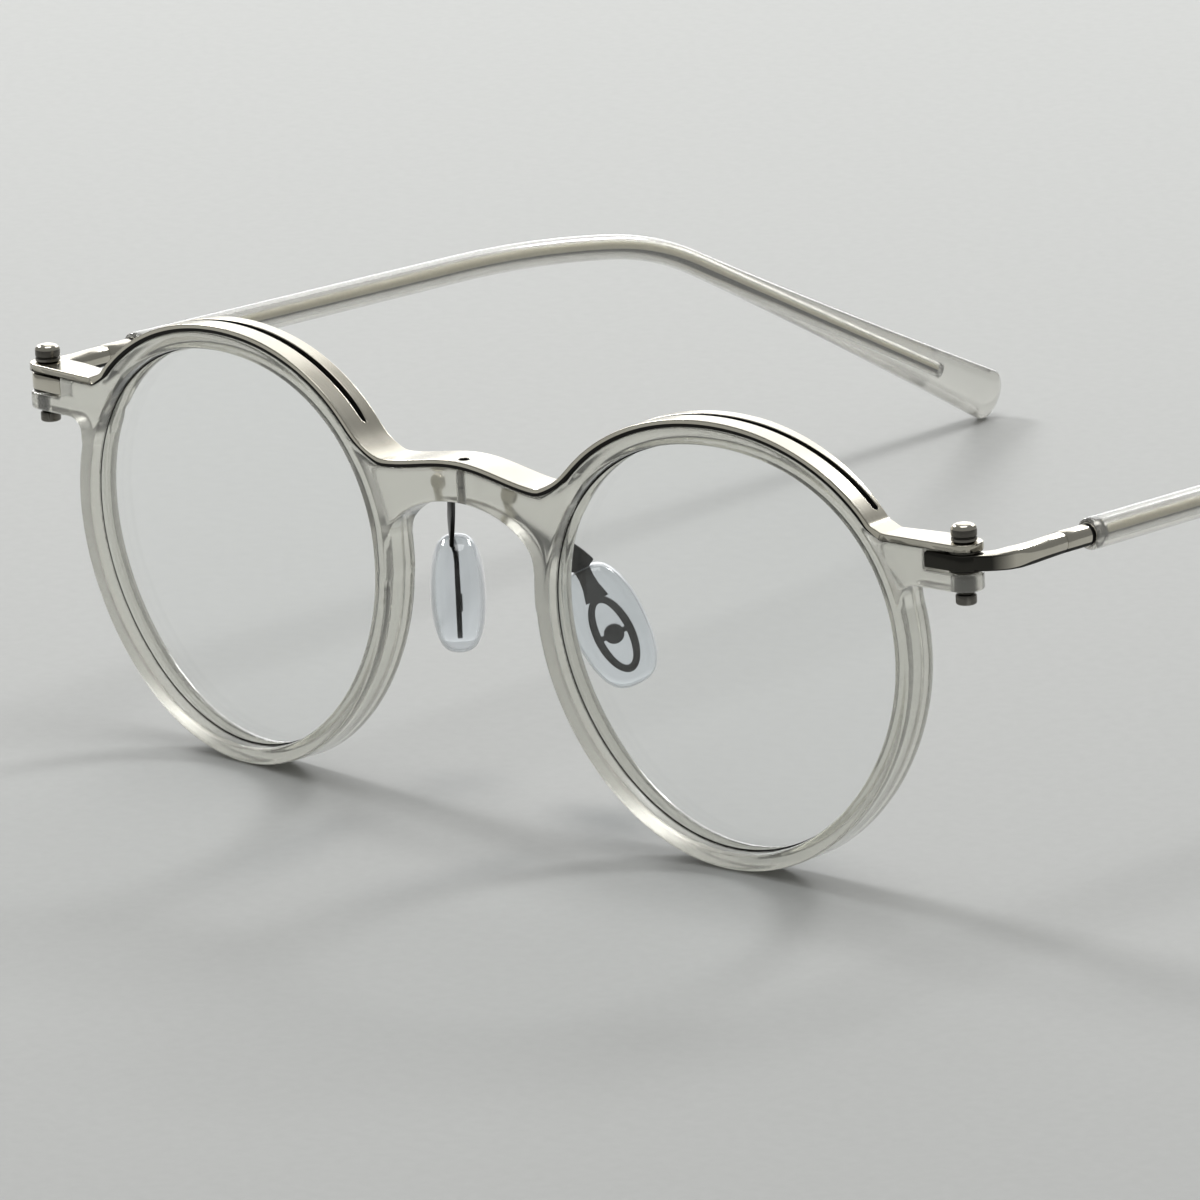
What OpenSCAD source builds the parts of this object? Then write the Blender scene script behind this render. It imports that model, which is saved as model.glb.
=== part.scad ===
// Round reading glasses: clear acetate front, titanium brow bar, folding temples.
// The front faces -Y, the temples run back along +Y and Z = 0 is the table top.
// Each half is drawn in its own rim frame: the middle of the lens is the origin,
// X points to the temple, Y points back and Z points up.

/* [Lens and rim] */
// Distance between the middles of the two lenses
lens_spacing = 68; // [64:0.5:72]
// Mean outer radius of a rim
rim_radius = 23.1; // [21:0.1:25]
// How much wider than tall the rim is, as a share of its radius
rim_widening = 0.023; // [0:0.001:0.04]
// How much the rim is flattened on top and drawn down below, as a share of its radius
rim_crown = 0.023; // [0:0.001:0.035]
// Width of the rim seen from the front
rim_face = 1.8; // [1.5:0.1:2.6]
// Depth of the rim from front to back
rim_depth = 4.2; // [3.6:0.1:5.4]
// Angle that each rim is turned back towards its temple
face_wrap = 4; // [0:0.5:6]
// Thickness of the lens
lens_thick = 1.8; // [1.2:0.1:2.2]
// Depth of the lens groove in the rim
groove_depth = 0.7; // [0.4:0.05:1]
// Distance from the front face to the middle of the lens
lens_set = 2.4; // [2:0.1:2.6]

/* [Bridge] */
// Height of the top of the acetate bridge above the middle of the lens
bridge_top = 13.3; // [12.5:0.1:14]
// How far the bridge top dips beside the nose
bridge_dip = 1.3; // [0.6:0.1:1.8]
// Height of the nose arch above the middle of the lens
nose_arch = 9.7; // [8.5:0.1:10.4]
// Depth of the bridge from front to back
bridge_depth = 3.6; // [3:0.1:4.4]
// Diameter of the upright screw through the bridge
bridge_screw_d = 1.1; // [0.8:0.05:1.5]

/* [Brow bar] */
// Thickness of the titanium strip
bar_thick = 0.8; // [0.6:0.05:1.2]
// Width of the strip from front to back
bar_width = 4.3; // [3.8:0.1:5.4]
// Width of the strip at the fold beside the hinge plate
bar_neck = 3.2; // [2.8:0.1:3.6]
// Height of the fold beside the hinge plate
brow_step = 1.1; // [0.8:0.1:1.4]
// Length of that fold from side to side
brow_fold = 1.9; // [1.5:0.1:2.4]
// Width of the long slot over each lens
slot_width = 0.7; // [0.4:0.05:1]
// Distance from the front edge of the strip to the middle of the slot
slot_set = 2.5; // [2:0.1:3]

/* [Hinge] */
// Height of the temple leaf above the middle of the lens
hinge_height = 12.4; // [11.6:0.1:13.2]
// Distance of the hinge bolt outside the widest point of the rim
hinge_reach = 6.1; // [5.6:0.1:7.5]
// Depth of the lug from front to back
lug_depth = 3.8; // [3.4:0.1:4]
// Thickness of the acetate under the leaf
lug_thick = 1.8; // [1.5:0.05:2.4]
// Radius of the fillet under the lug
lug_fillet = 1.8; // [1.4:0.1:2.2]
// Thickness of the temple leaf
leaf_thick = 1.7; // [1.3:0.05:1.9]
// Length of the leaf inboard of the bolt
leaf_tongue = 3.7; // [2.8:0.1:4]
// Thickness of each hinge washer
washer_thick = 0.15; // [0.1:0.05:0.3]
// Diameter of the bolt's shank
bolt_d = 1.4; // [1.1:0.05:1.6]
// Diameter of the bolt's head
bolt_head_d = 2.6; // [2.2:0.1:3]
// Height of the bolt's head
bolt_head_h = 1.9; // [1.2:0.1:2.4]
// Height of the nut below the lug
nut_h = 1.5; // [1:0.1:2]
// Diameter of the nut
nut_d = 2.1; // [1.9:0.1:2.8]
// Wall of the bush in the lug
bush_wall = 0.35; // [0.25:0.05:0.45]

/* [Temple] */
// Radius of the bend from the leaf into the arm
arm_bend = 3.2; // [3:0.1:3.6]
// Width of the flat bend seen from above
arm_width = 1.9; // [1.4:0.1:2.1]
// Diameter of the round arm behind the bend
arm_d = 2.25; // [1.8:0.05:2.3]
// Length over which the flat bend turns round
arm_taper = 2; // [1.5:0.5:5]
// How far the round arm sags below the middle of the leaf
arm_sag = 0.15; // [0:0.05:0.2]
// Inward angle of the temples
temple_taper = 1; // [0:0.25:1.5]
// Downward slope of the straight run
temple_slope = 1.6; // [0:0.1:3]
// Length of the straight run behind the hinge
straight_run = 59.2; // [50:0.1:66]
// Length of the gentle bow before the ear
bow_run = 24; // [18:0.5:30]
// Downward angle at the end of the bow
bow_angle = 10; // [7:0.5:12]
// Length of the ear bend
ear_run = 13.4; // [9:0.1:18]
// Downward angle behind the ear
ear_angle = 28; // [26:0.5:34]
// Length of the bare metal before the sleeve
bare_run = 11.7; // [9:0.1:14]
// Height of the sleeve at its mouth
sleeve_mouth = 3.4; // [3:0.1:4]
// Height of the sleeve behind the ear bend
sleeve_waist = 2.7; // [2.5:0.1:3.2]
// Height of the paddle at the tip
sleeve_tip = 5.8; // [4:0.1:7]
// Thickness of the sleeve from side to side
sleeve_side = 2.9; // [2.6:0.1:3.4]
// Diameter of the wire inside the sleeve
wire_d = 1.3; // [1:0.05:1.5]
// Diameter of the collar between the arm and the sleeve
collar_d = 2.2; // [1.9:0.05:2.3]
// Length of the wire that stops short of the tip
wire_short = 11; // [8:0.5:20]

/* [Nose pads] */
// Length of a silicone pad
pad_length = 13.2; // [11:0.1:15]
// Width of a silicone pad
pad_width = 7.6; // [6.8:0.1:9]
// Thickness of a silicone pad
pad_thick = 5.7; // [4.4:0.1:6.2]
// Distance of the pad's middle outside the rim's nasal edge
pad_aside = 0.33; // [-0.6:0.05:0.8]
// Distance of the pad's middle behind the middle of the lens face
pad_back = 9; // [8:0.1:10.5]
// Distance of the pad's middle below the middle of the lens
pad_drop = 3.5; // [2.5:0.1:5]
// Angle that the pads spread apart downwards
pad_flare = 16; // [10:1:20]
// Angle that the pads lean back downwards
pad_rake = 17; // [10:1:22]
// Angle that the pads are turned about their length
pad_turn = 48; // [40:1:60]
// Thickness of the metal pad arm
pad_arm_thick = 0.5; // [0.4:0.05:0.8]
// Width of the pad arm's stalk in the silicone
pad_arm_width = 1.7; // [1.3:0.1:2.2]
// Width of the pad arm's foot behind the bridge
pad_foot = 1.6; // [1.4:0.1:2]
// Width of the pad arm below its foot
pad_strip_slim = 0.8; // [0.6:0.1:1.2]
// Width of the pad arm's shoulder above the pad
pad_shoulder = 3; // [2:0.1:3.6]
// Diameter of the rivet that holds the pad arm
rivet_d = 1; // [0.8:0.05:1.2]
// Height of the rivet above the top of the nose arch
rivet_above = 1.1; // [0.8:0.1:1.4]
// Length of the rivet in the bridge
rivet_deep = 1.2; // [0.8:0.1:2]

/* [Fits] */
// Gap between parts that are pressed or screwed together
fixed_gap = 0.03; // [0.02:0.01:0.05]
// Gap between the turning leaf and its neighbours
running_gap = 0.05; // [0.04:0.01:0.08]
// Gap between the leaf's square corner and the lug that stops it
stop_gap = 0.08; // [0.06:0.01:0.12]

/* [Hidden] */

// Small overlap that keeps joined shapes from meeting in a bare face
bite = 0.2;
// Steps round the rim outline, and its angle step
outline_steps = 96;
outline_step = 360 / outline_steps;
round_fn = 48;

// Outer edge of the rim at an angle from the temple side, and a point on it
function rim_r(a) = rim_radius * (1 + rim_widening * cos(2 * a) + rim_crown * sin(3 * a));
function rim_point(a, grow = 0) = (rim_r(a) + grow) * [cos(a), sin(a)];
function rim_loop(grow) = [for (i = [0:outline_steps - 1]) rim_point(i * outline_step, grow)];

// Places that the pieces share
rim_half = rim_r(0);
rim_rise = rim_r(-90);
pin_x = rim_half + hinge_reach;
pin_y = lug_depth / 2;
leaf_low = hinge_height - leaf_thick / 2;
leaf_high = hinge_height + leaf_thick / 2;
lug_top = leaf_low - 2 * running_gap - washer_thick;
lug_low = lug_top - lug_thick;
plate_low = leaf_high + 2 * running_gap + washer_thick;
plate_high = plate_low + bar_thick;
lug_round = lug_depth / 2;
leaf_round = lug_round - 0.2;
notch_x = pin_x - leaf_tongue - stop_gap;

// The brow bar leaves the rim a little above the hinge plate
brow_end = round(asin((plate_low + brow_step) / rim_r(38)) / outline_step) * outline_step;
brow_start = 146.25;
plate_root = rim_point(brow_end)[0] + brow_fold;

// The bridge stands square to the nose, at the front face of the two rims
bridge_join = lens_spacing / 2 - rim_point(brow_start)[0] * -cos(face_wrap);
bridge_front = rim_point(brow_start)[0] * sin(face_wrap);
bridge_low_x = bridge_join - 2.8;
function bridge_line(x) = bridge_top - bridge_dip * (1 - cos(180 * x / bridge_low_x)) / 2;
bridge_steps = 12;

// The nose arch is a half oval between the two rims
arch_half = lens_spacing / 2 - rim_half + 0.5;
arch_foot = 1;
function arch_point(a) = [arch_half * cos(a), arch_foot + (nose_arch - arch_foot) * pow(sin(a), 0.75)];

// One half in its rim frame, put in its place: side is 1 for +X and -1 for -X
module place_half(side) {
    mirror([side < 0 ? 1 : 0, 0, 0])
        translate([lens_spacing / 2, -middle_y, rim_rise])
            rotate([0, 0, face_wrap])
                children();
}

// Something drawn about the middle of the nose, put in its place
module place_middle() {
    translate([0, -middle_y, rim_rise]) children();
}

// A flat outline in X and Z, made as deep as given along Y
module deep(from_y, depth) {
    translate([0, from_y + depth, 0])
        rotate([90, 0, 0])
            linear_extrude(height = depth)
                children();
}

// A cylinder upright between two heights
module upright(d, low, high) {
    translate([0, 0, low]) cylinder(d = d, h = high - low, $fn = round_fn);
}

// The temple's line, walked in short steps: each step is [along, height, angle]
walk_step = 3.2;
ear_start = straight_run + bow_run;
ear_end = ear_start + ear_run;
function temple_angle(t) =
    t < straight_run ? temple_slope :
    t < ear_start ? temple_slope + (bow_angle - temple_slope) * (t - straight_run) / bow_run :
    t < ear_end ? bow_angle + (ear_angle - bow_angle) * (t - ear_start) / ear_run :
    ear_angle;
// Height of the sleeve above and below its line: the paddle swells more below it
function swell(t) = pow(max(0, min(1, (t - ear_end) / (tip_run - tip_round - ear_end))), 1.5);
function half_height(t, tip) =
    t < ear_end ? lerp(sleeve_mouth, sleeve_waist, t / ear_end) / 2 : lerp(sleeve_waist / 2, tip, swell(t));
function sleeve_up(t) = half_height(t, sleeve_tip - paddle_down);
function sleeve_down(t) = half_height(t, paddle_down);
function lerp(a, b, f) = a + (b - a) * f;

// Height of the line at a distance, from the same angles, in closed form
function rad(a) = a * PI / 180;
function arc_drop(run, a, b) = run * (cos(a) - cos(b)) / rad(b - a);
function arc_gain(run, a, b) = run * (sin(b) - sin(a)) / rad(b - a);
ear_drop = straight_run * sin(temple_slope) + arc_drop(bow_run, temple_slope, bow_angle)
    + arc_drop(ear_run, bow_angle, ear_angle);
ear_gain = straight_run * cos(temple_slope) + arc_gain(bow_run, temple_slope, bow_angle)
    + arc_gain(ear_run, bow_angle, ear_angle);
function line_at(t) =
    t < straight_run ? [t * cos(temple_slope), -t * sin(temple_slope)] :
    t < ear_start ? line_at(straight_run - 0.0001)
        + [arc_gain(t - straight_run + 0.0001, temple_slope, temple_angle(t) + 0.001),
           -arc_drop(t - straight_run + 0.0001, temple_slope, temple_angle(t) + 0.001)] :
    t < ear_end ? line_at(ear_start - 0.0001)
        + [arc_gain(t - ear_start + 0.0001, bow_angle, temple_angle(t) + 0.001),
           -arc_drop(t - ear_start + 0.0001, bow_angle, temple_angle(t) + 0.001)] :
    [ear_gain + (t - ear_end) * cos(ear_angle), -ear_drop - (t - ear_end) * sin(ear_angle)];

// The tip's lowest point touches the table: the paddle's lower edge sets the length
tip_round = 0.32 * sleeve_tip;
paddle_down = 0.54 * sleeve_tip;
tip_steps = 5;
function tip_share(i) = i / (tip_steps + 0.3);
function tip_shrink(i) = sqrt(1 - pow(tip_share(i), 2));
tip_low = max([for (i = [0:tip_steps])
    tip_round * tip_share(i) * sin(ear_angle) + paddle_down * tip_shrink(i) * cos(ear_angle)]);
tip_run = ear_end + tip_round + (hinge_height + rim_rise - ear_drop - tip_low) / sin(ear_angle);
tip_reach = max([for (i = [0:tip_steps])
    line_at(tip_run - tip_round + tip_round * tip_share(i))[0]
        + (sleeve_tip - paddle_down) * tip_shrink(i) * sin(ear_angle)]);
arm_turn = 90 - face_wrap + temple_taper;
arm_start = [arm_bend * sin(arm_turn), arm_bend * (1 - cos(arm_turn))];

// The whole part stands with its rims and tips on the table and its middle at X = Y = 0
front_y = -rim_half * sin(face_wrap);
back_y = (pin_x + arm_start[0]) * sin(face_wrap) + (pin_y + arm_start[1]) * cos(face_wrap)
    + tip_reach * cos(temple_taper);
middle_y = (front_y + back_y) / 2;

// The arm's own frame at the end of its bend: Y runs along the temple
module arm_frame() {
    translate([pin_x + arm_start[0], pin_y + arm_start[1], hinge_height])
        rotate([0, 0, arm_turn - 90])
            children();
}

// One ring of points across the temple's line
ring_sides = 16;
function ring_at(t, side, up, down) =
    let (p = line_at(t), a = temple_angle(t))
    [for (i = [0:ring_sides - 1])
        let (c = cos(360 * i / ring_sides), s = sin(360 * i / ring_sides), h = s > 0 ? s * up : s * down)
        [side * c, p[0] + h * sin(a), p[1] + h * cos(a)]];

// Triangles that join ring after ring, and caps for the two ends
function ring_walls(first, last, n) =
    [for (r = [first:last - 1]) for (i = [0:n - 1])
        let (j = (i + 1) % n)
        each [[r * n + i, r * n + j, (r + 1) * n + j], [r * n + i, (r + 1) * n + j, (r + 1) * n + i]]];
function cap_start(r, n) = [for (i = [1:n - 2]) [r * n, r * n + i + 1, r * n + i]];
function cap_end(r, n) = [for (i = [1:n - 2]) [r * n, r * n + i, r * n + i + 1]];

// A solid through a list of rings, all with the same number of points
module ring_solid(rings) {
    n = len(rings[0]);
    last = len(rings) - 1;
    polyhedron(
        points = [for (ring = rings) each ring],
        faces = concat(ring_walls(0, last, n), cap_start(0, n), cap_end(last, n)));
}

// Stations along the temple between two distances
function stations(from, to) =
    let (n = ceil((to - from) / walk_step))
    [for (i = [0:n]) lerp(from, to, i / n)];

// Full disc of the rim, from the front face back
module rim_disc(grow, from_y, depth) {
    deep(from_y, depth) polygon(rim_loop(grow));
}

// Front view of the lug: block up to the plate, shelf under the leaf, fillet below
fillet_r = lug_fillet;
lug_foot = rim_point(18);
fillet_x = lug_foot[0] + 0.1 + fillet_r;
module lug_outline() {
    foot = lug_foot;
    polygon(concat(
        [rim_point(brow_end), [plate_root, plate_low], [notch_x, plate_low], [notch_x, lug_low]],
        [for (a = [90:15:180]) [fillet_x + fillet_r * cos(a), lug_low - fillet_r + fillet_r * sin(a)]],
        [foot, [foot[0] - rim_face / 2, foot[1]], [rim_point(brow_end)[0] - rim_face, lug_low]]));
}

module lug() {
    deep(0, lug_depth) lug_outline();
    translate([notch_x - bite, 0, lug_low]) cube([pin_x - notch_x + bite, lug_depth, lug_thick]);
    translate([pin_x, pin_y, 0]) upright(2 * lug_round, lug_low, lug_top);
}

// Front view of the acetate bridge, from the nose arch up to the bar
module bridge_outline() {
    top_side = [bridge_join, rim_point(brow_start)[1]];
    right = [for (i = [0:bridge_steps])
        let (x = bridge_low_x * i / bridge_steps) [x, bridge_line(x)]];
    left = [for (i = [bridge_steps:-1:1]) [-right[i][0], right[i][1]]];
    arch = [for (a = [0:10:180]) arch_point(a)];
    polygon(concat(
        left, right,
        [top_side, [top_side[0] + 1, nose_arch], [arch_half + 1, arch_foot]],
        arch,
        [[-arch_half - 1, arch_foot], [-top_side[0] - 1, nose_arch], [-top_side[0], top_side[1]]]));
}

nose_half = lens_spacing / 2 - rim_half;
rivet_x = 0.48 * nose_half;
rivet_z = nose_arch + rivet_above;
bridge_back = bridge_front + bridge_depth;
screw_y = bridge_front + bridge_depth / 3;

module acetate_front() color("gainsboro", 0.6) {
    difference() {
        union() {
            for (side = [-1, 1]) place_half(side) {
                rim_disc(0, 0, rim_depth);
                lug();
            }
            place_middle() deep(bridge_front, bridge_depth) bridge_outline();
        }
        for (side = [-1, 1]) place_half(side) {
            rim_disc(-rim_face, -rim_depth, 3 * rim_depth);
            rim_disc(groove_depth - rim_face, lens_set - lens_thick / 2, lens_thick);
            translate([pin_x, pin_y, 0])
                upright(bolt_d + 2 * (bush_wall + 2 * fixed_gap), lug_low - bite, lug_top + bite);
        }
        place_middle() translate([0, screw_y, 0])
            upright(bridge_screw_d + 2 * fixed_gap, 0, bridge_top + 1);
        for (side = [-1, 1]) place_middle()
            translate([side * rivet_x, bridge_back + bite, rivet_z])
                rotate([90, 0, 0])
                    cylinder(d = rivet_d + 2 * fixed_gap, h = rivet_deep + bite, $fn = round_fn);
    }
}

// Strip seen from above: it narrows towards the fold and widens again to the bolt
module brow_plan() {
    polygon([
        [-rim_half, 0], [pin_x, 0], [pin_x, lug_depth], [notch_x, lug_depth],
        [plate_root, bar_neck], [rim_half / 6, bar_width], [-rim_half, bar_width]]);
}

// Strip along the top of one rim with its hinge plate
module brow_half() {
    angles = [brow_start:-outline_step:brow_end];
    low = [for (a = angles) rim_point(a)];
    high = [for (a = angles) rim_point(a, bar_thick)];
    difference() {
        union() {
            intersection() {
                deep(0, bar_width) polygon(concat(
                    low, [[plate_root, plate_low], [pin_x, plate_low], [pin_x, plate_high],
                        [plate_root + 0.44 * bar_thick, plate_high]],
                    [for (i = [len(high) - 1:-1:0]) high[i]]));
                linear_extrude(height = 2 * rim_radius) brow_plan();
            }
            translate([pin_x, pin_y, 0]) upright(2 * lug_round, plate_low, plate_high);
        }
        brow_slot();
        translate([pin_x, pin_y, 0]) upright(bolt_d + 2 * fixed_gap, plate_low - 1, plate_high + 1);
    }
}

// Long slot in the strip over one lens, with its two ends rounded
slot_from = 41.25;
slot_to = 138.75;
module brow_slot() {
    deep(slot_set - slot_width / 2, slot_width)
        polygon(concat(
            [for (a = [slot_from:outline_step:slot_to]) rim_point(a, -1)],
            [for (a = [slot_to:-outline_step:slot_from]) rim_point(a, bar_thick + 1)]));
    for (a = [slot_from, slot_to])
        translate([rim_r(a) * cos(a), slot_set, rim_r(a) * sin(a)])
            rotate([0, 90 - a, 0])
                cylinder(d = slot_width, h = 4 * bar_thick, center = true, $fn = 24);
}

// Strip over the bridge, on the same line as the acetate under it
module brow_middle() {
    low = [for (i = [-bridge_steps:bridge_steps])
        let (x = bridge_low_x * i / bridge_steps) [x, bridge_line(abs(x))]];
    end_low = [bridge_join, rim_point(brow_start)[1]];
    end_high = [lens_spacing / 2 + rim_point(brow_start, bar_thick)[0], rim_point(brow_start, bar_thick)[1]];
    difference() {
        deep(bridge_front, bar_width)
            polygon(concat(
                [[-end_low[0], end_low[1]]], low, [end_low, end_high],
                [for (i = [len(low) - 1:-1:0]) low[i] + [0, bar_thick]],
                [[-end_high[0], end_high[1]]]));
        translate([0, screw_y, 0]) upright(bridge_screw_d + 0.3, 0, bridge_top + 2);
    }
}

module brow_bar() color("silver") {
    for (side = [-1, 1]) place_half(side) brow_half();
    place_middle() brow_middle();
}

module lens(side) color("lightcyan", 0.3)
    place_half(side)
        rim_disc(groove_depth - rim_face - fixed_gap, lens_set - lens_thick / 2 + fixed_gap,
            lens_thick - 2 * fixed_gap);

// Upright screw: the shank fills the acetate and the head sits low in the bar's hole
module bridge_screw() color("dimgray")
    place_middle() translate([0, screw_y, 0]) {
        upright(bridge_screw_d, nose_arch + 0.1, bridge_top + 0.1);
        upright(bridge_screw_d + 0.24, bridge_top, bridge_top + bar_thick * 0.6);
    }

// Hinge bolt with a domed and slotted head
module hinge_bolt(side) color("dimgray")
    place_half(side) translate([pin_x, pin_y, 0])
        difference() {
            union() {
                upright(bolt_d, lug_low - nut_h + 0.2, plate_high + bite);
                translate([0, 0, plate_high])
                    rotate_extrude($fn = round_fn)
                        polygon([
                            [0, 0], [bolt_head_d / 2 - 0.12, 0], [bolt_head_d / 2, 0.12],
                            [bolt_head_d / 2, bolt_head_h - 0.45], [bolt_head_d / 2 - 0.18, bolt_head_h - 0.15],
                            [bolt_head_d / 2 - 0.5, bolt_head_h], [0, bolt_head_h]]);
            }
            translate([-bolt_head_d, -0.2, plate_high + bolt_head_h - 0.4])
                cube([2 * bolt_head_d, 0.4, 1]);
        }

// Nut below the lug, with a slim neck above its barrel
module hinge_nut(side) color("dimgray")
    place_half(side) translate([pin_x, pin_y, 0])
        difference() {
            union() {
                upright(nut_d - 0.3, lug_low - 0.45, lug_low);
                upright(nut_d, lug_low - nut_h, lug_low - 0.4);
            }
            upright(bolt_d + 2 * fixed_gap, lug_low - nut_h + 0.15, lug_low + 1);
        }

module washer(side, low) color("darkgray")
    place_half(side) translate([pin_x, pin_y, 0])
        difference() {
            upright(2 * lug_round - 0.6, low, low + washer_thick);
            upright(bolt_d + 2 * fixed_gap, low - 1, low + washer_thick + 1);
        }

module lug_bush(side) color("darkgray")
    place_half(side) translate([pin_x, pin_y, 0])
        difference() {
            upright(bolt_d + 2 * (bush_wall + fixed_gap), lug_low, lug_top);
            upright(bolt_d + 2 * fixed_gap, lug_low - 1, lug_top + 1);
        }

// Leaf round the bolt: its front corner is square and stops the temple when open,
// its rear corner is rounded so that it can turn as the temple folds
module leaf_outline() {
    difference() {
        union() {
            circle(r = leaf_round, $fn = round_fn);
            translate([-leaf_tongue, -leaf_round]) square([leaf_tongue, leaf_round]);
            intersection() {
                circle(r = leaf_tongue, $fn = 96);
                translate([-leaf_tongue, -bite]) square([leaf_tongue, leaf_round + bite]);
            }
            translate([0, arm_bend]) intersection() {
                difference() {
                    circle(r = arm_bend + arm_width / 2, $fn = 96);
                    circle(r = arm_bend - arm_width / 2, $fn = 96);
                }
                polygon([
                    [0, 0], [0, -2 * arm_bend], [2 * arm_bend, -2 * arm_bend],
                    2 * arm_bend * [cos(arm_turn - 90), sin(arm_turn - 90)]]);
            }
        }
        circle(d = bolt_d + 2 * running_gap, $fn = round_fn);
    }
}

// Bare arm from the bend to the collar, then the wire that runs on in the sleeve
seam_run = bare_run - 4.2;
wire_end = tip_run - wire_short;
module temple_arm(side) color("silver")
    place_half(side) {
        translate([pin_x, pin_y, leaf_low]) linear_extrude(height = leaf_thick) leaf_outline();
        arm_frame() {
            ring_solid([for (t = [-bite, 0, arm_taper / 3, arm_taper * 2 / 3, arm_taper, seam_run])
                let (f = max(0, min(1, t / arm_taper)))
                ring_at(t, lerp(arm_width, arm_d, f) / 2, lerp(leaf_thick, arm_d, f) / 2 - arm_sag * f,
                    lerp(leaf_thick, arm_d, f) / 2 + arm_sag * f)]);
            ring_solid([for (t = stations(seam_run - bite, wire_end))
                ring_at(t, wire_d / 2, wire_d / 2, wire_d / 2)]);
        }
    }

// Round collar between the flat arm and the mouth of the sleeve
collar_end = bare_run + 1.2;
module temple_collar(side) color("silver")
    place_half(side) arm_frame()
        rotate([-90 - temple_slope, 0, 0])
            difference() {
                translate([0, 0, seam_run]) cylinder(d = collar_d, h = collar_end - seam_run, $fn = round_fn);
                translate([0, 0, seam_run - 1]) cylinder(d = wire_d + 2 * fixed_gap, h = collar_end, $fn = round_fn);
            }

// Clear sleeve: a tube over the wire that ends in a rounded paddle
module temple_sleeve(side) color("gainsboro", 0.6)
    place_half(side) arm_frame()
        difference() {
            ring_solid(concat(
                [for (t = stations(bare_run, tip_run - tip_round))
                    ring_at(t, sleeve_side / 2, sleeve_up(t), sleeve_down(t))],
                [for (i = [1:tip_steps])
                    let (t = tip_run - tip_round + tip_round * tip_share(i), f = tip_shrink(i))
                    ring_at(t, sleeve_side / 2 * f, sleeve_up(t) * f, sleeve_down(t) * f)]));
            ring_solid([for (t = stations(bare_run - 1, wire_end + 0.3))
                ring_at(t, wire_d / 2 + running_gap + 0.04, wire_d / 2 + running_gap + 0.04,
                    wire_d / 2 + running_gap + 0.04)]);
            rotate([-90 - temple_slope, 0, 0])
                translate([0, 0, bare_run - 1]) rotate([0, 0, 33])
                    cylinder(d = collar_d + 2 * fixed_gap, h = collar_end + fixed_gap - bare_run + 1, $fn = round_fn);
        }

// The pad's own frame: Z is its length, X its width and Y faces the nose
pad_place = [nose_half + pad_aside, pad_back, -pad_drop];
module pad_frame(side) {
    mirror([side < 0 ? 1 : 0, 0, 0])
        translate(pad_place) rotate([pad_rake, 0, 0]) rotate([0, -pad_flare, 0]) rotate([0, 0, pad_turn])
            children();
}
function turn_z(p, a) = [p[0] * cos(a) - p[1] * sin(a), p[0] * sin(a) + p[1] * cos(a), p[2]];
function turn_y(p, a) = [p[0] * cos(a) + p[2] * sin(a), p[1], p[2] * cos(a) - p[0] * sin(a)];
function turn_x(p, a) = [p[0], p[1] * cos(a) - p[2] * sin(a), p[1] * sin(a) + p[2] * cos(a)];
function from_pad(p) = pad_place + turn_x(turn_y(turn_z(p, pad_turn), -pad_flare), pad_rake);

// Metal core of the pad: an oval ring with a bar across it and a neck on top
core_length = 0.56 * pad_length;
core_width = 0.49 * pad_width;
core_rim = 0.072 * pad_width;
core_low = 0.09 * pad_length;
neck_top = 0.538 * pad_length;
neck_low = core_length / 2 - core_low - core_rim;
module core_outline(grow) {
    scale_x = (core_width / 2 + grow) / (core_length / 2 + grow);
    translate([0, -core_low])
        polygon([for (a = [0:7.5:352.5]) (core_length / 2 + grow) * [scale_x * cos(a), sin(a)]]);
    translate([-pad_arm_width / 2 - grow, neck_low]) square([pad_arm_width + 2 * grow, neck_top - neck_low]);
}
module core_windows() {
    for (z = pad_length * [-0.125, 0.125])
        translate([0, z - core_low])
            polygon([for (a = [0:15:345])
                [(core_width / 2 - core_rim) * 0.94 * cos(a), 0.098 * pad_length * sin(a)]]);
}

// Line of the arm strip from its foot on the bridge to the neck of the core
strip_reach = pad_back - bridge_back;
foot_half = 0.5 * pad_foot;
foot_low = [rivet_x, bridge_back + fixed_gap + pad_arm_thick / 2, rivet_z - foot_half + 0.05];
foot_pull = foot_low - [0, 0, 0.3 * strip_reach];
neck_pull = from_pad([0, 0, neck_top + 0.45 * strip_reach]);
neck_point = from_pad([0, 0, neck_top]);
arm_steps = 12;
function strip_point(f) =
    let (g = 1 - f)
    pow(g, 3) * foot_low + 3 * f * g * g * foot_pull + 3 * f * f * g * neck_pull + pow(f, 3) * neck_point;
function unit(v) = v / norm(v);
foot_across = [1, 0, 0];
neck_across = from_pad([1, 0, 0]) - pad_place;
function strip_ring(f) =
    let (
        p = strip_point(f),
        along = unit(strip_point(min(1, f + 0.01)) - strip_point(max(0, f - 0.01))),
        rough = lerp(foot_across, neck_across, f),
        across = unit(rough - (rough * along) * along),
        out = cross(along, across),
        w = lerp(pad_strip_slim, pad_shoulder, f * f) / 2, h = pad_arm_thick / 2)
    [p - w * across - h * out, p - w * across + h * out, p + w * across + h * out, p + w * across - h * out];

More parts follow.
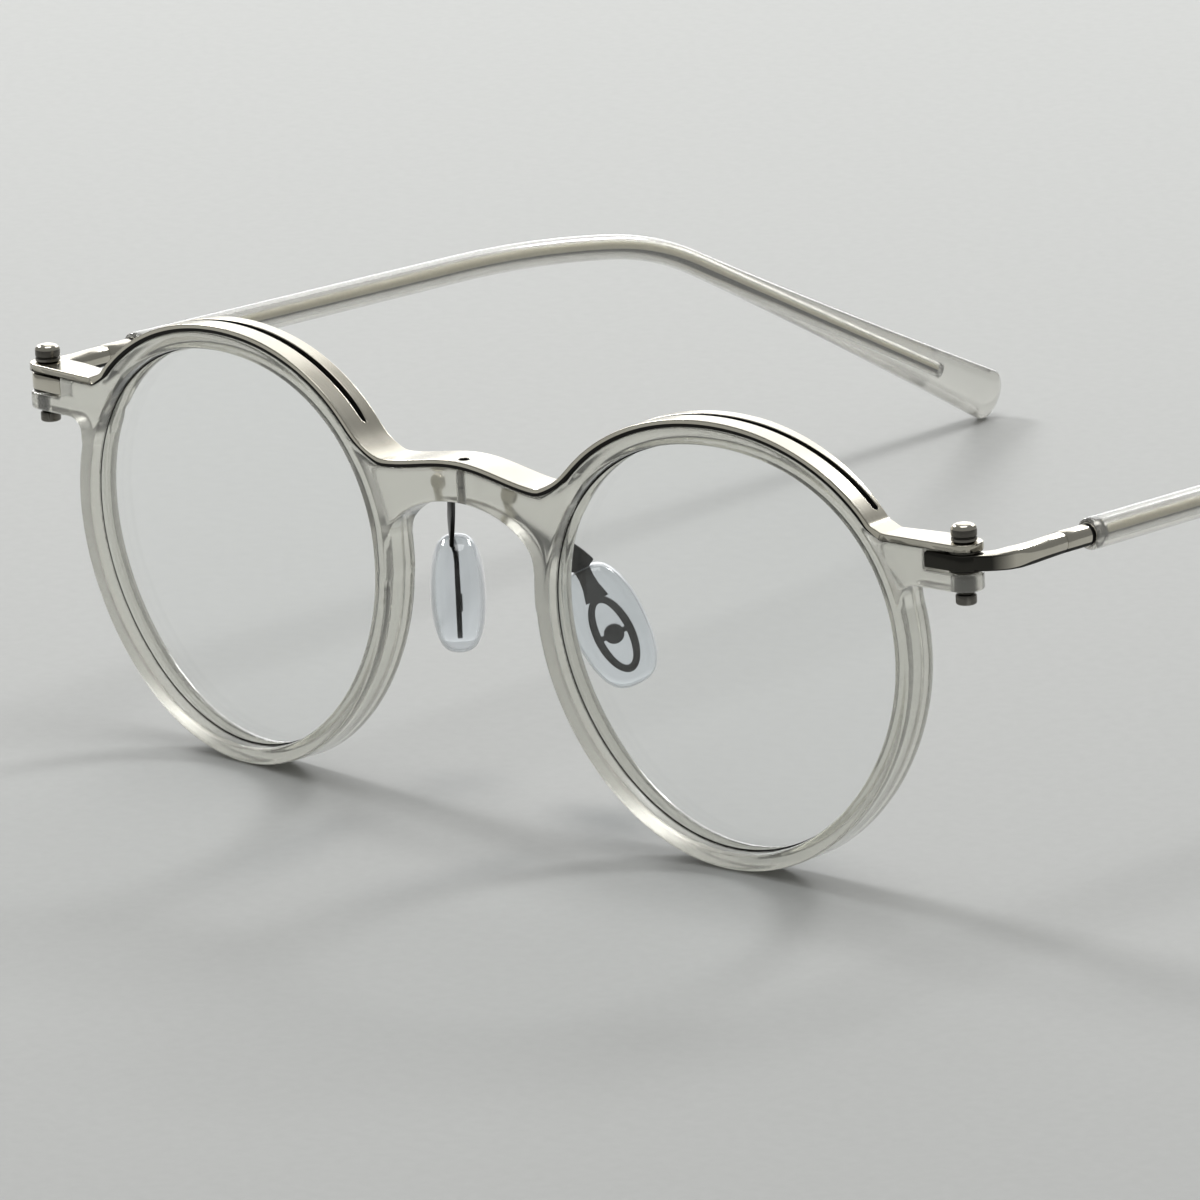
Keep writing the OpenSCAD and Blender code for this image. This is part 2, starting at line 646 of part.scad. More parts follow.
module pad_arm(side) color("dimgray")
    place_middle() {
        pad_frame(side)
            translate([0, pad_arm_thick / 2, 0]) rotate([90, 0, 0])
                linear_extrude(height = pad_arm_thick)
                    difference() {
                        core_outline(0);
                        core_windows();
                    }
        mirror([side < 0 ? 1 : 0, 0, 0]) {
            ring_solid([for (i = [0:arm_steps]) strip_ring(i / arm_steps)]);
            difference() {
                translate([rivet_x - pad_foot / 2, bridge_back + fixed_gap, rivet_z - foot_half])
                    cube([pad_foot, pad_arm_thick, 2 * foot_half]);
                translate([rivet_x, bridge_back + 2, rivet_z]) rotate([90, 0, 0])
                    cylinder(d = rivet_d + 2 * fixed_gap, h = 4, $fn = round_fn);
            }
        }
    }

// Rivet with a low domed head behind the foot of the pad arm
module pad_rivet(side) color("silver")
    place_middle()
        translate([side * rivet_x, bridge_back + 2 * fixed_gap + pad_arm_thick, rivet_z])
            rotate([-90, 0, 0])
                rotate_extrude($fn = round_fn)
                    polygon([
                        [0, -rivet_deep - pad_arm_thick], [rivet_d / 2, -rivet_deep - pad_arm_thick],
                        [rivet_d / 2, 0], [rivet_d * 0.9, 0], [rivet_d * 0.85, 0.2],
                        [rivet_d * 0.5, 0.4], [0, 0.45]]);

// Silicone pad: a plump oval that is fuller in its middle, with a pocket for the core
pad_rings = 14;
pad_sides = 20;
function pad_ring(i) =
    let (a = -88 + 176 * i / (pad_rings - 1), z = pad_length / 2 * sin(a), f = pow(cos(a), 0.62))
    [for (k = [0:pad_sides - 1])
        let (b = -360 * k / pad_sides)
        [pad_width / 2 * f * cos(b), pad_thick / 2 * pow(f, 0.9) * sin(b), z]];
module nose_pad(side) color("lightsteelblue", 0.6)
    place_middle() pad_frame(side)
        difference() {
            ring_solid([for (i = [0:pad_rings - 1]) pad_ring(i)]);
            translate([0, pad_arm_thick / 2 + fixed_gap, 0]) rotate([90, 0, 0])
                linear_extrude(height = pad_arm_thick + 2 * fixed_gap)
                    core_outline(fixed_gap);
        }

acetate_front();
brow_bar();
lens(-1);  // lens_left
lens(1);  // lens_right
bridge_screw();
hinge_bolt(-1);  // hinge_bolt_left
hinge_bolt(1);  // hinge_bolt_right
hinge_nut(-1);  // hinge_nut_left
hinge_nut(1);  // hinge_nut_right
washer(-1, leaf_high + running_gap);  // upper_washer_left
washer(1, leaf_high + running_gap);  // upper_washer_right
washer(-1, lug_top + running_gap);  // lower_washer_left
washer(1, lug_top + running_gap);  // lower_washer_right
lug_bush(-1);  // lug_bush_left
lug_bush(1);  // lug_bush_right
pad_arm(-1);  // pad_arm_left
pad_arm(1);  // pad_arm_right
pad_rivet(-1);  // pad_rivet_left
pad_rivet(1);  // pad_rivet_right
nose_pad(-1);  // nose_pad_left
nose_pad(1);  // nose_pad_right
temple_arm(-1);  // temple_arm_left
temple_arm(1);  // temple_arm_right
temple_collar(-1);  // temple_collar_left
temple_collar(1);  // temple_collar_right
temple_sleeve(-1);  // temple_sleeve_left
temple_sleeve(1);  // temple_sleeve_right
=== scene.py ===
# Round reading glasses: clear acetate front, titanium brow bar, folding temples in clear sleeves
import math

import bmesh
import bpy
import numpy as np
from mathutils import Matrix, Vector


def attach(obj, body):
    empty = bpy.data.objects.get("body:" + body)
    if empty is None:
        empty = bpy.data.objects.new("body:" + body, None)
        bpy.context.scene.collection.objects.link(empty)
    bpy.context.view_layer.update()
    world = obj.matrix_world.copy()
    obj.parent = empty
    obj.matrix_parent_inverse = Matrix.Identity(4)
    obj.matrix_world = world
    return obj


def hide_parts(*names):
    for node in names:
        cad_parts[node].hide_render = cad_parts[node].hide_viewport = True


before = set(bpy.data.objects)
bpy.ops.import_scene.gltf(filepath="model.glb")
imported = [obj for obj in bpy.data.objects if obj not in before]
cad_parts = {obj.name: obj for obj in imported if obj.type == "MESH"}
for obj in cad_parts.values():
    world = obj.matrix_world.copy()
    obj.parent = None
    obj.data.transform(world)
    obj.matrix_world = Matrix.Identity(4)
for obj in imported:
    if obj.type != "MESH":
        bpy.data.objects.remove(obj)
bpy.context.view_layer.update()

# Sizes in millimetres, as in the part's source. The rims' middles stand MIDDLE_Y in front of the
# frame's origin and RIM_RISE above it
MM = 0.001
WRAP = math.radians(4)
LENS_HALF = 34.0
MIDDLE_Y = 74.375
RIM_RADIUS, RIM_WIDER, RIM_CORNERS = 23.1, 0.023, 0.023
RIM_RISE = RIM_RADIUS
RIM_FACE, RIM_DEPTH = 1.8, 4.2
LENS_SET, LENS_THICK, GROOVE = 2.4, 1.8, 0.7
BRIDGE_TOP, BRIDGE_DIP, NOSE_ARCH, BRIDGE_DEPTH = 13.3, 1.3, 9.7, 3.6
BAR_THICK, BAR_WIDTH, BAR_NECK = 0.8, 4.3, 3.2
SLOT_WIDTH, SLOT_SET, SLOT_RADIUS = 0.7, 2.5, 23.8
SLOT_START, SLOT_END = 41.25, 138.75
HINGE_HEIGHT, LUG_DEPTH = 12.4, 3.8
LUG_LOW, LUG_TOP, LEAF_LOW, LEAF_HIGH, PLATE_LOW, PLATE_HIGH = 9.5, 11.3, 11.55, 13.25, 13.5, 14.3
BOLT_D, BOLT_HEAD_D, BOLT_HEAD_H, NUT_D, NUT_H = 1.4, 2.6, 1.9, 2.1, 1.5
LEAF_TONGUE, ARM_BEND, ARM_WIDTH, ARM_D, ARM_SAG = 3.7, 3.2, 1.9, 2.25, 0.15
ARM_LEAN = math.radians(3)
BARE_RUN, SEAM_RUN, COLLAR_END, COLLAR_D, WIRE_D = 11.7, 7.5, 12.9, 2.2, 1.3
STRAIGHT_RUN, BOW_RUN, EAR_RUN = 59.2, 24.0, 13.4
SLOPE, BOW_ANGLE, EAR_ANGLE = math.radians(1.6), math.radians(10), math.radians(28)
TIP_RUN, WIRE_SHORT = 149.981, 11.0
SLEEVE_MOUTH, SLEEVE_WAIST, SLEEVE_TIP, SLEEVE_SIDE = 3.4, 2.7, 5.8, 2.9
PAD_LENGTH, PAD_WIDTH, PAD_THICK = 13.2, 7.6, 5.7
PAD_PLACE = np.array([10.6987, 9.0, -3.5])
PAD_RAKE, PAD_FLARE, PAD_TURN = math.radians(17), math.radians(16), math.radians(48)
STALK_WIDTH, STRIP_THICK, FOOT_WIDTH, STRIP_SLIM, SHOULDER = 1.7, 0.5, 1.6, 0.8, 3.0


def rim_edge(a):
    """Outer edge of the rim at an angle from the temple side."""
    return RIM_RADIUS * (1 + RIM_WIDER * np.cos(2 * a) + RIM_CORNERS * np.sin(3 * a))


def rim_point(degrees, grow=0.0):
    """A point on the rim's outer edge, or so far outside it."""
    a = math.radians(degrees)
    r = rim_edge(a) + grow
    return r * math.cos(a), r * math.sin(a)


RIM_HALF = rim_edge(0)
PIN_X, PIN_Y = RIM_HALF + 6.1, LUG_DEPTH / 2
HINGE_Y = PIN_X * math.sin(WRAP) + PIN_Y * math.cos(WRAP) - MIDDLE_Y
NOTCH_X = PIN_X - LEAF_TONGUE - 0.08
BROW_END, BROW_START = 37.5, 146.25
PLATE_ROOT = rim_point(BROW_END)[0] + 1.9
BRIDGE_JOIN = LENS_HALF + rim_point(BROW_START)[0] * math.cos(WRAP)
BRIDGE_FRONT = rim_point(BROW_START)[0] * math.sin(WRAP)
BRIDGE_BACK = BRIDGE_FRONT + BRIDGE_DEPTH
BRIDGE_LOW_X = BRIDGE_JOIN - 2.8
SCREW_Y = BRIDGE_FRONT + BRIDGE_DEPTH / 3
SCREW_HOLE = 0.55
NOSE_HALF = LENS_HALF - RIM_HALF
ARCH_HALF = NOSE_HALF + 0.5
RIVET_X, RIVET_Z = 0.48 * NOSE_HALF, NOSE_ARCH + 1.1


# Places: each takes points in millimetres and gives metres in the shared frame
def on_middle(points):
    """From the frame in the middle of the bridge."""
    p = np.asarray(points, float)
    return (p + [0, -MIDDLE_Y, RIM_RISE]) * MM


def on_half(points, side):
    """From the frame of one rim, which turns back with the wrap of the front."""
    p = np.asarray(points, float)
    c, s = math.cos(WRAP), math.sin(WRAP)
    x = LENS_HALF + p[..., 0] * c - p[..., 1] * s
    y = p[..., 0] * s + p[..., 1] * c - MIDDLE_Y
    return np.stack([side * x, y, p[..., 2] + RIM_RISE], -1) * MM


def on_arm(points, side):
    """From the arm's own frame behind the hinge bend."""
    p = np.asarray(points, float)
    c, s = math.cos(ARM_LEAN), math.sin(ARM_LEAN)
    x = p[..., 0] * c + p[..., 1] * s + PIN_X + ARM_BEND * c
    y = p[..., 1] * c - p[..., 0] * s + PIN_Y + ARM_BEND * (1 - s)
    return on_half(np.stack([x, y, p[..., 2] + HINGE_HEIGHT], -1), side)


PAD_FRAME = np.array(Matrix.Rotation(PAD_RAKE, 3, "X") @ Matrix.Rotation(-PAD_FLARE, 3, "Y")
                     @ Matrix.Rotation(PAD_TURN, 3, "Z"))


def from_pad(points):
    """From the frame in the middle of a nose pad to that of the bridge."""
    return np.asarray(points, float) @ PAD_FRAME.T + PAD_PLACE


def on_pad(points, side):
    return on_middle(from_pad(points) * [side, 1, 1])


def at_screw(points):
    """From the middle of the bridge screw's line."""
    return on_middle(points + [0, SCREW_Y, 0])


# Rings and curves that the pieces share
def full_turn(sides):
    return np.linspace(0, 2 * math.pi, sides, endpoint=False)


def ring_at(x, y, z):
    """A ring's points. A plain number holds for all of them."""
    return np.stack(np.broadcast_arrays(x, y, z), -1)


def squared(turn, power):
    """Cosine and sine of a turn, drawn out to a squarer ring by a power below one."""
    c, s = np.cos(turn), np.sin(turn)
    return np.sign(c) * np.abs(c) ** power, np.sign(s) * np.abs(s) ** power


def part_way(a, b, f):
    return a + (b - a) * f


def ease(f):
    f = np.clip(f, 0, 1)
    return f * f * (3 - 2 * f)


# Finishes
def linear(text):
    """The linear colour of an sRGB hex value."""
    parts = [int(text[i:i + 2], 16) / 255 for i in (1, 3, 5)]
    return [c / 12.92 if c <= 0.04045 else ((c + 0.055) / 1.055) ** 2.4 for c in parts] + [1.0]


def add(tree, kind, settings=None, **links):
    """Adds one node. Values, links and nodes, which stand for their first output, go to its sockets by
    name, with _ for a space, or by n and number."""
    node = tree.nodes.new("ShaderNode" + kind)
    for key, value in (settings or {}).items():
        setattr(node, key, value)
    for key, value in links.items():
        place = int(key[1:]) if key[0] == "n" and key[1:].isdigit() else key.replace("_", " ")
        if isinstance(value, bpy.types.Node):
            value = value.outputs[0]
        if isinstance(value, bpy.types.NodeSocket):
            tree.links.new(value, node.inputs[place])
        else:
            node.inputs[place].default_value = value
    return node


def new_finish(name):
    finish = bpy.data.materials.new(name)
    finish.use_nodes = True
    tree = finish.node_tree
    tree.nodes.clear()
    return finish, tree, add(tree, "TexCoord").outputs["Object"]


def closed(finish, surface):
    add(finish.node_tree, "OutputMaterial", Surface=surface)
    return finish


def let_lamps_through(tree, surface, tint):
    """Clear plastic passes part of the lamps' light to the floor, so that its shadow is pale."""
    path = add(tree, "LightPath")
    open_air = add(tree, "BsdfTransparent", Color=linear(tint))
    floor_side = add(tree, "MixShader", n0=path.outputs["Is Diffuse Ray"], n1=surface, n2=open_air)
    return add(tree, "MixShader", n0=path.outputs["Is Shadow Ray"], n1=floor_side, n2=open_air)


def crystal_acetate(name, tint, clearness):
    # Cellulose acetate, tumbled in wood chips: a cloudy, faintly warm grey body with a glossy skin,
    # whose rounded edges catch the light as thin white lines. The drawn sleeves are clearer
    finish, tree, where = new_finish(name)
    ripple = add(tree, "TexNoise", Vector=where, Scale=420.0, Detail=2.0, Roughness=0.5)
    haze = add(tree, "TexNoise", Vector=where, Scale=900.0, Detail=3.0, Roughness=0.6)
    rough = add(tree, "MapRange", Value=haze, To_Min=0.15, To_Max=0.25)
    bump = add(tree, "Bump", Height=ripple, Strength=0.2, Distance=0.06 * MM)
    body = add(tree, "BsdfPrincipled", Base_Color=linear(tint), IOR=1.49, Roughness=rough, Normal=bump,
               Transmission_Weight=clearness, Coat_Weight=1.0, Coat_Roughness=0.04, Sheen_Weight=0.6,
               Sheen_Roughness=0.2)
    return closed(finish, let_lamps_through(tree, body, "#8F8E8A"))


def lens_glass():
    # Reading lens cast in clear resin with a hard coat: almost nothing shows but its glints. Its index
    # is set low, because the thin curved lens shifts what lies behind it less than this thick disc
    finish, tree, where = new_finish("clear lens resin, cast and polished")
    film = add(tree, "TexNoise", Vector=where, Scale=60.0, Detail=1.0)
    rough = add(tree, "MapRange", Value=film, To_Min=0.0, To_Max=0.01)
    body = add(tree, "BsdfPrincipled", Base_Color=linear("#FDFEFE"), IOR=1.08, Roughness=rough,
               Transmission_Weight=1.0, Coat_Weight=0.8, Coat_Roughness=0.0)
    return closed(finish, let_lamps_through(tree, body, "#F8F9F9"))


def titanium(name, tint, shade, stretch, low, high, painted_shade_before=None):
    """Bare titanium. Its upright sides in front of the place given carry painted shade."""
    finish, tree, where = new_finish(name)
    drawn = add(tree, "Mapping", Vector=where, Scale=stretch)
    lines = add(tree, "TexNoise", Vector=drawn, Scale=1.0, Detail=4.0, Roughness=0.65)
    cloud = add(tree, "TexNoise", Vector=where, Scale=180.0, Detail=2.0)
    colour = add(tree, "Mix", {"data_type": "RGBA"}, Factor=cloud, n6=linear(tint), n7=linear(shade))
    rough = add(tree, "MapRange", Value=lines, To_Min=low, To_Max=high)
    bump = add(tree, "Bump", Height=lines, Strength=0.12, Distance=0.02 * MM)
    # Painted shade on the upright sides in front of the place given
    if painted_shade_before is not None:
        along = add(tree, "SeparateXYZ", Vector=where)
        near = add(tree, "MapRange", Value=along.outputs["Y"], From_Min=painted_shade_before - 1.2 * MM,
                   From_Max=painted_shade_before + 1.2 * MM, To_Min=1.0, To_Max=0.0)
        facing = add(tree, "SeparateXYZ", Vector=add(tree, "NewGeometry").outputs["Normal"])
        size = add(tree, "Math", {"operation": "ABSOLUTE"}, n0=facing.outputs["Z"])
        upright = add(tree, "MapRange", Value=size, From_Min=0.35, From_Max=0.7, To_Min=1.0, To_Max=0.0)
        share = add(tree, "Math", {"operation": "MULTIPLY"}, n0=near, n1=upright)
        colour = add(tree, "Mix", {"data_type": "RGBA"}, Factor=share,
                     n6=colour.outputs[2], n7=linear("#3B3A36"))
    body = add(tree, "BsdfPrincipled", Base_Color=colour.outputs[2], Metallic=1.0, Roughness=rough,
               Normal=bump)
    return closed(finish, body)


def brushed_bar():
    # Beta titanium strip, stamped and brushed along its length: warm grey, with fine long lines.
    # Real brushing is finer than 0.05 mm; these lines lie 0.12 mm apart so that they show
    return titanium("beta titanium, brushed along the bar", "#D6D2C6", "#C2BDAF", (90.0, 8300.0, 90.0),
                    0.2, 0.3)


def polished_arm(name, painted_shade_before=None):
    # Titanium rod, drawn, bent and polished: brighter than the bar, with faint lines along it, and
    # with painted shade on the upright sides in front of a place given, as on the leaf near the hinge
    return titanium(name, "#D9D5C9", "#C4BFB2", (5200.0, 120.0, 5200.0), 0.12, 0.2, painted_shade_before)


def blasted_wire():
    # Wire of the same titanium, blasted so that the acetate grips it: a soft pale band in the sleeve
    finish, tree, where = new_finish("titanium wire, blasted")
    grain = add(tree, "TexNoise", Vector=where, Scale=3500.0, Detail=3.0)
    colour = add(tree, "Mix", {"data_type": "RGBA"}, Factor=grain,
                 n6=linear("#EDE9DB"), n7=linear("#DAD5C5"))
    body = add(tree, "BsdfPrincipled", Base_Color=colour.outputs[2], Metallic=1.0, Roughness=0.5)
    return closed(finish, body)


def painted_shade_finish():
    # Painted shade: a dark, dull finish on the faces where shade falls, under the bar, in its slots and screw
    # hole, along the lens edges and below the temples' rods
    finish, tree, where = new_finish("painted shade, dark and dull")
    scale = add(tree, "TexNoise", Vector=where, Scale=4000.0, Detail=3.0)
    colour = add(tree, "Mix", {"data_type": "RGBA"}, Factor=scale,
                 n6=linear("#131210"), n7=linear("#211F1C"))
    body = add(tree, "BsdfPrincipled", Base_Color=colour.outputs[2], Roughness=0.6,
               Specular_IOR_Level=0.2)
    return closed(finish, body)


def dark_fastener():
    # Small steel screws with a dark plating: nearly black, with bright worn rims
    finish, tree, where = new_finish("steel, turned and dark plated")
    spun = add(tree, "Mapping", Vector=where, Scale=(600.0, 600.0, 9000.0))
    rings = add(tree, "TexNoise", Vector=spun, Scale=1.0, Detail=3.0)
    edge = add(tree, "NewGeometry").outputs["Pointiness"]
    worn = add(tree, "MapRange", Value=edge, From_Min=0.52, From_Max=0.62)
    colour = add(tree, "Mix", {"data_type": "RGBA"}, Factor=worn,
                 n6=linear("#3A3834"), n7=linear("#C9C5BC"))
    rough = add(tree, "MapRange", Value=rings, To_Min=0.2, To_Max=0.38)
    bump = add(tree, "Bump", Height=rings, Strength=0.3, Distance=0.02 * MM)
    body = add(tree, "BsdfPrincipled", Base_Color=colour.outputs[2], Metallic=1.0, Roughness=rough,
               Normal=bump)
    return closed(finish, body)


def turned_washer():
    # Thin nickel silver washers, faced on a lathe and left to tarnish: dull dark grey
    finish, tree, where = new_finish("nickel silver, turned and tarnished")
    grain = add(tree, "TexNoise", Vector=where, Scale=5000.0, Detail=2.0)
    rough = add(tree, "MapRange", Value=grain, To_Min=0.28, To_Max=0.45)
    body = add(tree, "BsdfPrincipled", Base_Color=linear("#4A4843"), Metallic=1.0, Roughness=rough)
    return closed(finish, body)


def pad_strip_metal():
    # Stainless strip under the silicone, dark plated: it shows as a near black line
    finish, tree, where = new_finish("stainless strip, stamped and dark plated")
    grain = add(tree, "TexNoise", Vector=where, Scale=3000.0, Detail=3.0)
    rough = add(tree, "MapRange", Value=grain, To_Min=0.22, To_Max=0.4)
    bump = add(tree, "Bump", Height=grain, Strength=0.2, Distance=0.02 * MM)
    body = add(tree, "BsdfPrincipled", Base_Color=linear("#171614"), Metallic=1.0, Roughness=rough,
               Normal=bump)
    return closed(finish, body)


def pad_silicone():
    # Optical silicone, moulded round the metal core: soft blue-white gel that turns milky white where
    # it is seen edge on. Its index is set low, so that the core shows as straight as in the real pad
    finish, tree, where = new_finish("clear silicone, moulded")
    swirl = add(tree, "TexNoise", Vector=where, Scale=500.0, Detail=2.0)
    rough = add(tree, "MapRange", Value=swirl, To_Min=0.05, To_Max=0.14)
    bump = add(tree, "Bump", Height=swirl, Strength=0.3, Distance=0.1 * MM)
    rim = add(tree, "LayerWeight", Blend=0.5)
    clear = add(tree, "MapRange", Value=rim.outputs["Facing"], From_Min=0.5, From_Max=0.74,
                To_Min=0.985, To_Max=0.0)
    body = add(tree, "BsdfPrincipled", Base_Color=linear("#EEF3F8"), IOR=1.12, Roughness=rough,
               Normal=bump, Transmission_Weight=clear, Coat_Weight=1.0, Coat_Roughness=0.04,
               Sheen_Weight=0.8, Sheen_Roughness=0.2)
    return closed(finish, let_lamps_through(tree, body, "#AEB6BD"))


ACETATE = crystal_acetate("crystal acetate, milled and tumbled", "#F6F5EC", 0.88)
SLEEVE_ACETATE = crystal_acetate("crystal acetate, drawn over the wire", "#F8F7F1", 0.9)
LENS = lens_glass()
BAR_METAL = brushed_bar()
# Painted shade: the dark finish for faces where shade falls
PAINTED_SHADE = painted_shade_finish()
ARM_METAL = polished_arm("titanium rod, drawn and polished")
# The right temple's rod and leaf, with painted shade on their upright sides near the hinge
LEAF_METAL = polished_arm("titanium rod, painted shade near the hinge", (HINGE_Y + 1.8) * MM)
WIRE_METAL = blasted_wire()
FASTENER = dark_fastener()
WASHER = turned_washer()
PAD_METAL = pad_strip_metal()
SILICONE = pad_silicone()


def shown(name, data):
    """Puts an object with its data into the scene."""
    thing = bpy.data.objects.new(name, data)
    bpy.context.scene.collection.objects.link(thing)
    return thing


def put(name, mesh, finish, body, node=None, second=None):
    """Makes a piece of the glasses from a mesh, on its body and in its node's place."""
    mesh.name = name
    kept = [p.material_index for p in mesh.polygons]
    mesh.materials.clear()
    mesh.materials.append(finish)
    if second:
        mesh.materials.append(second)
    mesh.polygons.foreach_set("material_index", kept)
    piece = shown(name, mesh)
    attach(piece, body)
    if node:
        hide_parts(node)
    return piece


def mesh_from(points, faces, sharp, second_finish=()):
    """A clean mesh that is smooth, but for edges sharper than so many degrees."""
    mesh = bpy.data.meshes.new("piece")
    mesh.from_pydata([tuple(p) for p in points], [], faces)
    for i in second_finish:
        mesh.polygons[i].material_index = 1
    work = bmesh.new()
    work.from_mesh(mesh)
    bmesh.ops.remove_doubles(work, verts=work.verts, dist=1e-7)
    bmesh.ops.dissolve_degenerate(work, edges=work.edges, dist=1e-8)
    bmesh.ops.recalc_face_normals(work, faces=work.faces)
    work.to_mesh(mesh)
    work.free()
    mesh.shade_smooth()
    if sharp:
        mesh.set_sharp_from_angle(angle=math.radians(sharp))
    return mesh


def skin(rings, sharp, loop=False):
    """A closed skin over a row of rings, each with the same number of points."""
    n, rows = len(rings[0]), len(rings)
    points = [p for ring in rings for p in ring]
    faces = []
    for r in range(rows if loop else rows - 1):
        q = (r + 1) % rows
        for i in range(n):
            j = (i + 1) % n
            faces.append((r * n + i, r * n + j, q * n + j, q * n + i))
    if not loop:
        faces += [tuple(range(n)), tuple(range((rows - 1) * n, rows * n))]
    return mesh_from(points, faces, sharp)


def turned(profile, place, sides=64, sharp=35):
    """A lathe piece: the profile gives radius and height, and place puts its points."""
    turn = full_turn(sides)
    return skin([place(ring_at(r * np.cos(turn), r * np.sin(turn), h)) for r, h in profile], sharp)


def marked(mesh, test):
    """Gives the second finish to the faces that pass a test."""
    mesh.polygons.foreach_set("material_index", [int(test(p)) for p in mesh.polygons])
    return mesh


def finished(blank):
    """The mesh of a blank as its tools leave it. The blank itself is taken away."""
    mesh = bpy.data.meshes.new_from_object(blank.evaluated_get(bpy.context.evaluated_depsgraph_get()))
    bpy.data.objects.remove(blank)
    return mesh


# Acetate front: the source's outlines, joined and rounded as tumbling rounds them
EDGE_ROUND, SHELF_ROUND, FOOT_ROUND = 0.38, 0.3, 1.8
BRIDGE_FILLET, LUG_FILLET, BRIDGE_BLEND, LUG_BLEND = 1.7, 0.9, 2.4, 1.6
LUG_FOOT, FOOT_SET, SHELF_BACK = 18, 1.9, 0.6
GROOVE_MIDDLE, GROOVE_REACH = 3.1, 2.0
SCREW_BORE, BUSH_BORE = 0.58, 1.11
FAR = 60.0


def outline_distance(x, z, corners):
    """Distance to a closed outline, below zero inside it."""
    best = np.full(x.shape, 1e9)
    inside = np.zeros(x.shape, bool)
    for (ax, az), (bx, bz) in zip(corners, corners[1:] + corners[:1]):
        ex, ez = bx - ax, bz - az
        t = np.clip(((x - ax) * ex + (z - az) * ez) / (ex * ex + ez * ez + 1e-12), 0, 1)
        best = np.minimum(best, (x - ax - ex * t) ** 2 + (z - az - ez * t) ** 2)
        if az != bz:
            inside ^= ((az > z) != (bz > z)) & (x < ex * (z - az) / ez + ax)
    return np.sqrt(best) * np.where(inside, -1, 1)


def soft_join(a, b, fillet):
    """Two distances joined with a fillet between their forms."""
    h = np.clip(0.5 + 0.5 * (b - a) / fillet, 0, 1)
    return part_way(b, a, h) - fillet * h * (1 - h)


def bridge_line(x):
    return BRIDGE_TOP - BRIDGE_DIP * (1 - math.cos(math.pi * x / BRIDGE_LOW_X)) / 2


def bridge_outline():
    right = [(BRIDGE_LOW_X * i / 16, bridge_line(BRIDGE_LOW_X * i / 16)) for i in range(17)]
    side = [(BRIDGE_JOIN, rim_point(BROW_START)[1]), (BRIDGE_JOIN + 1, NOSE_ARCH), (ARCH_HALF + 1, 1.0)]
    arch = []
    for i in range(37):
        a = math.pi * i / 36
        arch.append((ARCH_HALF * math.cos(a), 1 + (NOSE_ARCH - 1) * max(math.sin(a), 0) ** 0.75))
    return [(-x, z) for x, z in right[:0:-1]] + right + side + arch + [(-x, z) for x, z in side[::-1]]


def lug_outline():
    top, foot = rim_point(BROW_END), rim_point(LUG_FOOT)
    x, z = foot[0] + FOOT_SET, LUG_LOW - FOOT_ROUND
    fillet = [(x + FOOT_ROUND * math.cos(a), z + FOOT_ROUND * math.sin(a))
              for a in np.radians(np.arange(90, 181, 10))]
    return [top, (PLATE_ROOT, PLATE_LOW), (NOTCH_X, PLATE_LOW), (NOTCH_X, LUG_LOW)] + fillet + [
        foot, (foot[0] - 0.9, foot[1]), (top[0] - RIM_FACE, LUG_LOW)]


BRIDGE_OUTLINE, LUG_OUTLINE = bridge_outline(), lug_outline()


def rounded(across, along, radius):
    """Two distances crossed at right angles, with the edge between them rounded."""
    a, b = across + radius, along + radius
    return np.minimum(np.maximum(a, b), 0) + np.hypot(np.maximum(a, 0), np.maximum(b, 0)) - radius


def front_distance(p):
    """Distance from the surface of the acetate front, in millimetres. It is the same on both sides,
    and the bridge and the lug are only worked out where they are near."""
    x, y, z = np.abs(p[:, 0]), p[:, 1] + MIDDLE_Y, p[:, 2] - RIM_RISE
    c, s = math.cos(WRAP), math.sin(WRAP)
    xr, yr = (x - LENS_HALF) * c + y * s, -(x - LENS_HALF) * s + y * c
    r, edge = np.hypot(xr, z), rim_edge(np.arctan2(z, xr))
    rim = r - edge
    bridge, lug = np.full(x.shape, FAR), np.full(x.shape, FAR)
    near = x < 19
    bridge[near] = outline_distance(x[near], z[near], BRIDGE_OUTLINE)
    near = (xr > 12) & (z > 2)
    lug[near] = outline_distance(xr[near], z[near], LUG_OUTLINE)
    flat = soft_join(soft_join(rim, bridge, BRIDGE_FILLET), lug, LUG_FILLET)
    to_bridge, to_lug = ease(0.5 + (rim - bridge) / BRIDGE_BLEND), ease(0.5 + (rim - lug) / LUG_BLEND)
    deep = np.abs(yr - RIM_DEPTH / 2) - RIM_DEPTH / 2
    deep = part_way(deep, np.abs(y - BRIDGE_FRONT - BRIDGE_DEPTH / 2) - BRIDGE_DEPTH / 2, to_bridge)
    deep = part_way(deep, np.abs(yr - LUG_DEPTH / 2) - LUG_DEPTH / 2, to_lug)
    body = rounded(np.maximum(flat, edge - RIM_FACE - r), deep, EDGE_ROUND)
    shelf = np.maximum(np.hypot(np.maximum(xr - PIN_X, 0), yr - PIN_Y) - PIN_Y, NOTCH_X - SHELF_BACK - xr)
    shelf_high = np.abs(z - (LUG_LOW + LUG_TOP) / 2) - (LUG_TOP - LUG_LOW) / 2
    body = np.minimum(body, rounded(shelf, shelf_high, SHELF_ROUND))
    groove = np.maximum(np.abs(rim + GROOVE_MIDDLE) - GROOVE_REACH, np.abs(yr - LENS_SET) - LENS_THICK / 2)
    screw = np.hypot(x, y - SCREW_Y) - SCREW_BORE
    pin = np.hypot(xr - PIN_X, yr - PIN_Y) - BUSH_BORE
    return np.maximum(body, -np.minimum(np.minimum(groove, screw), pin))


def drawn_onto(points, distance, rounds):
    """Moves points down the slope of a distance until they lie on its surface."""
    step = 0.01
    for _ in range(rounds):
        d = distance(points)
        slope = np.stack([distance(points + step * e) - distance(points - step * e) for e in np.eye(3)], 1)
        size = np.maximum(np.linalg.norm(slope, axis=1, keepdims=True), 1e-4 * step)
        points = points - np.clip(d, -0.3, 0.3)[:, None] * slope / size
    return points


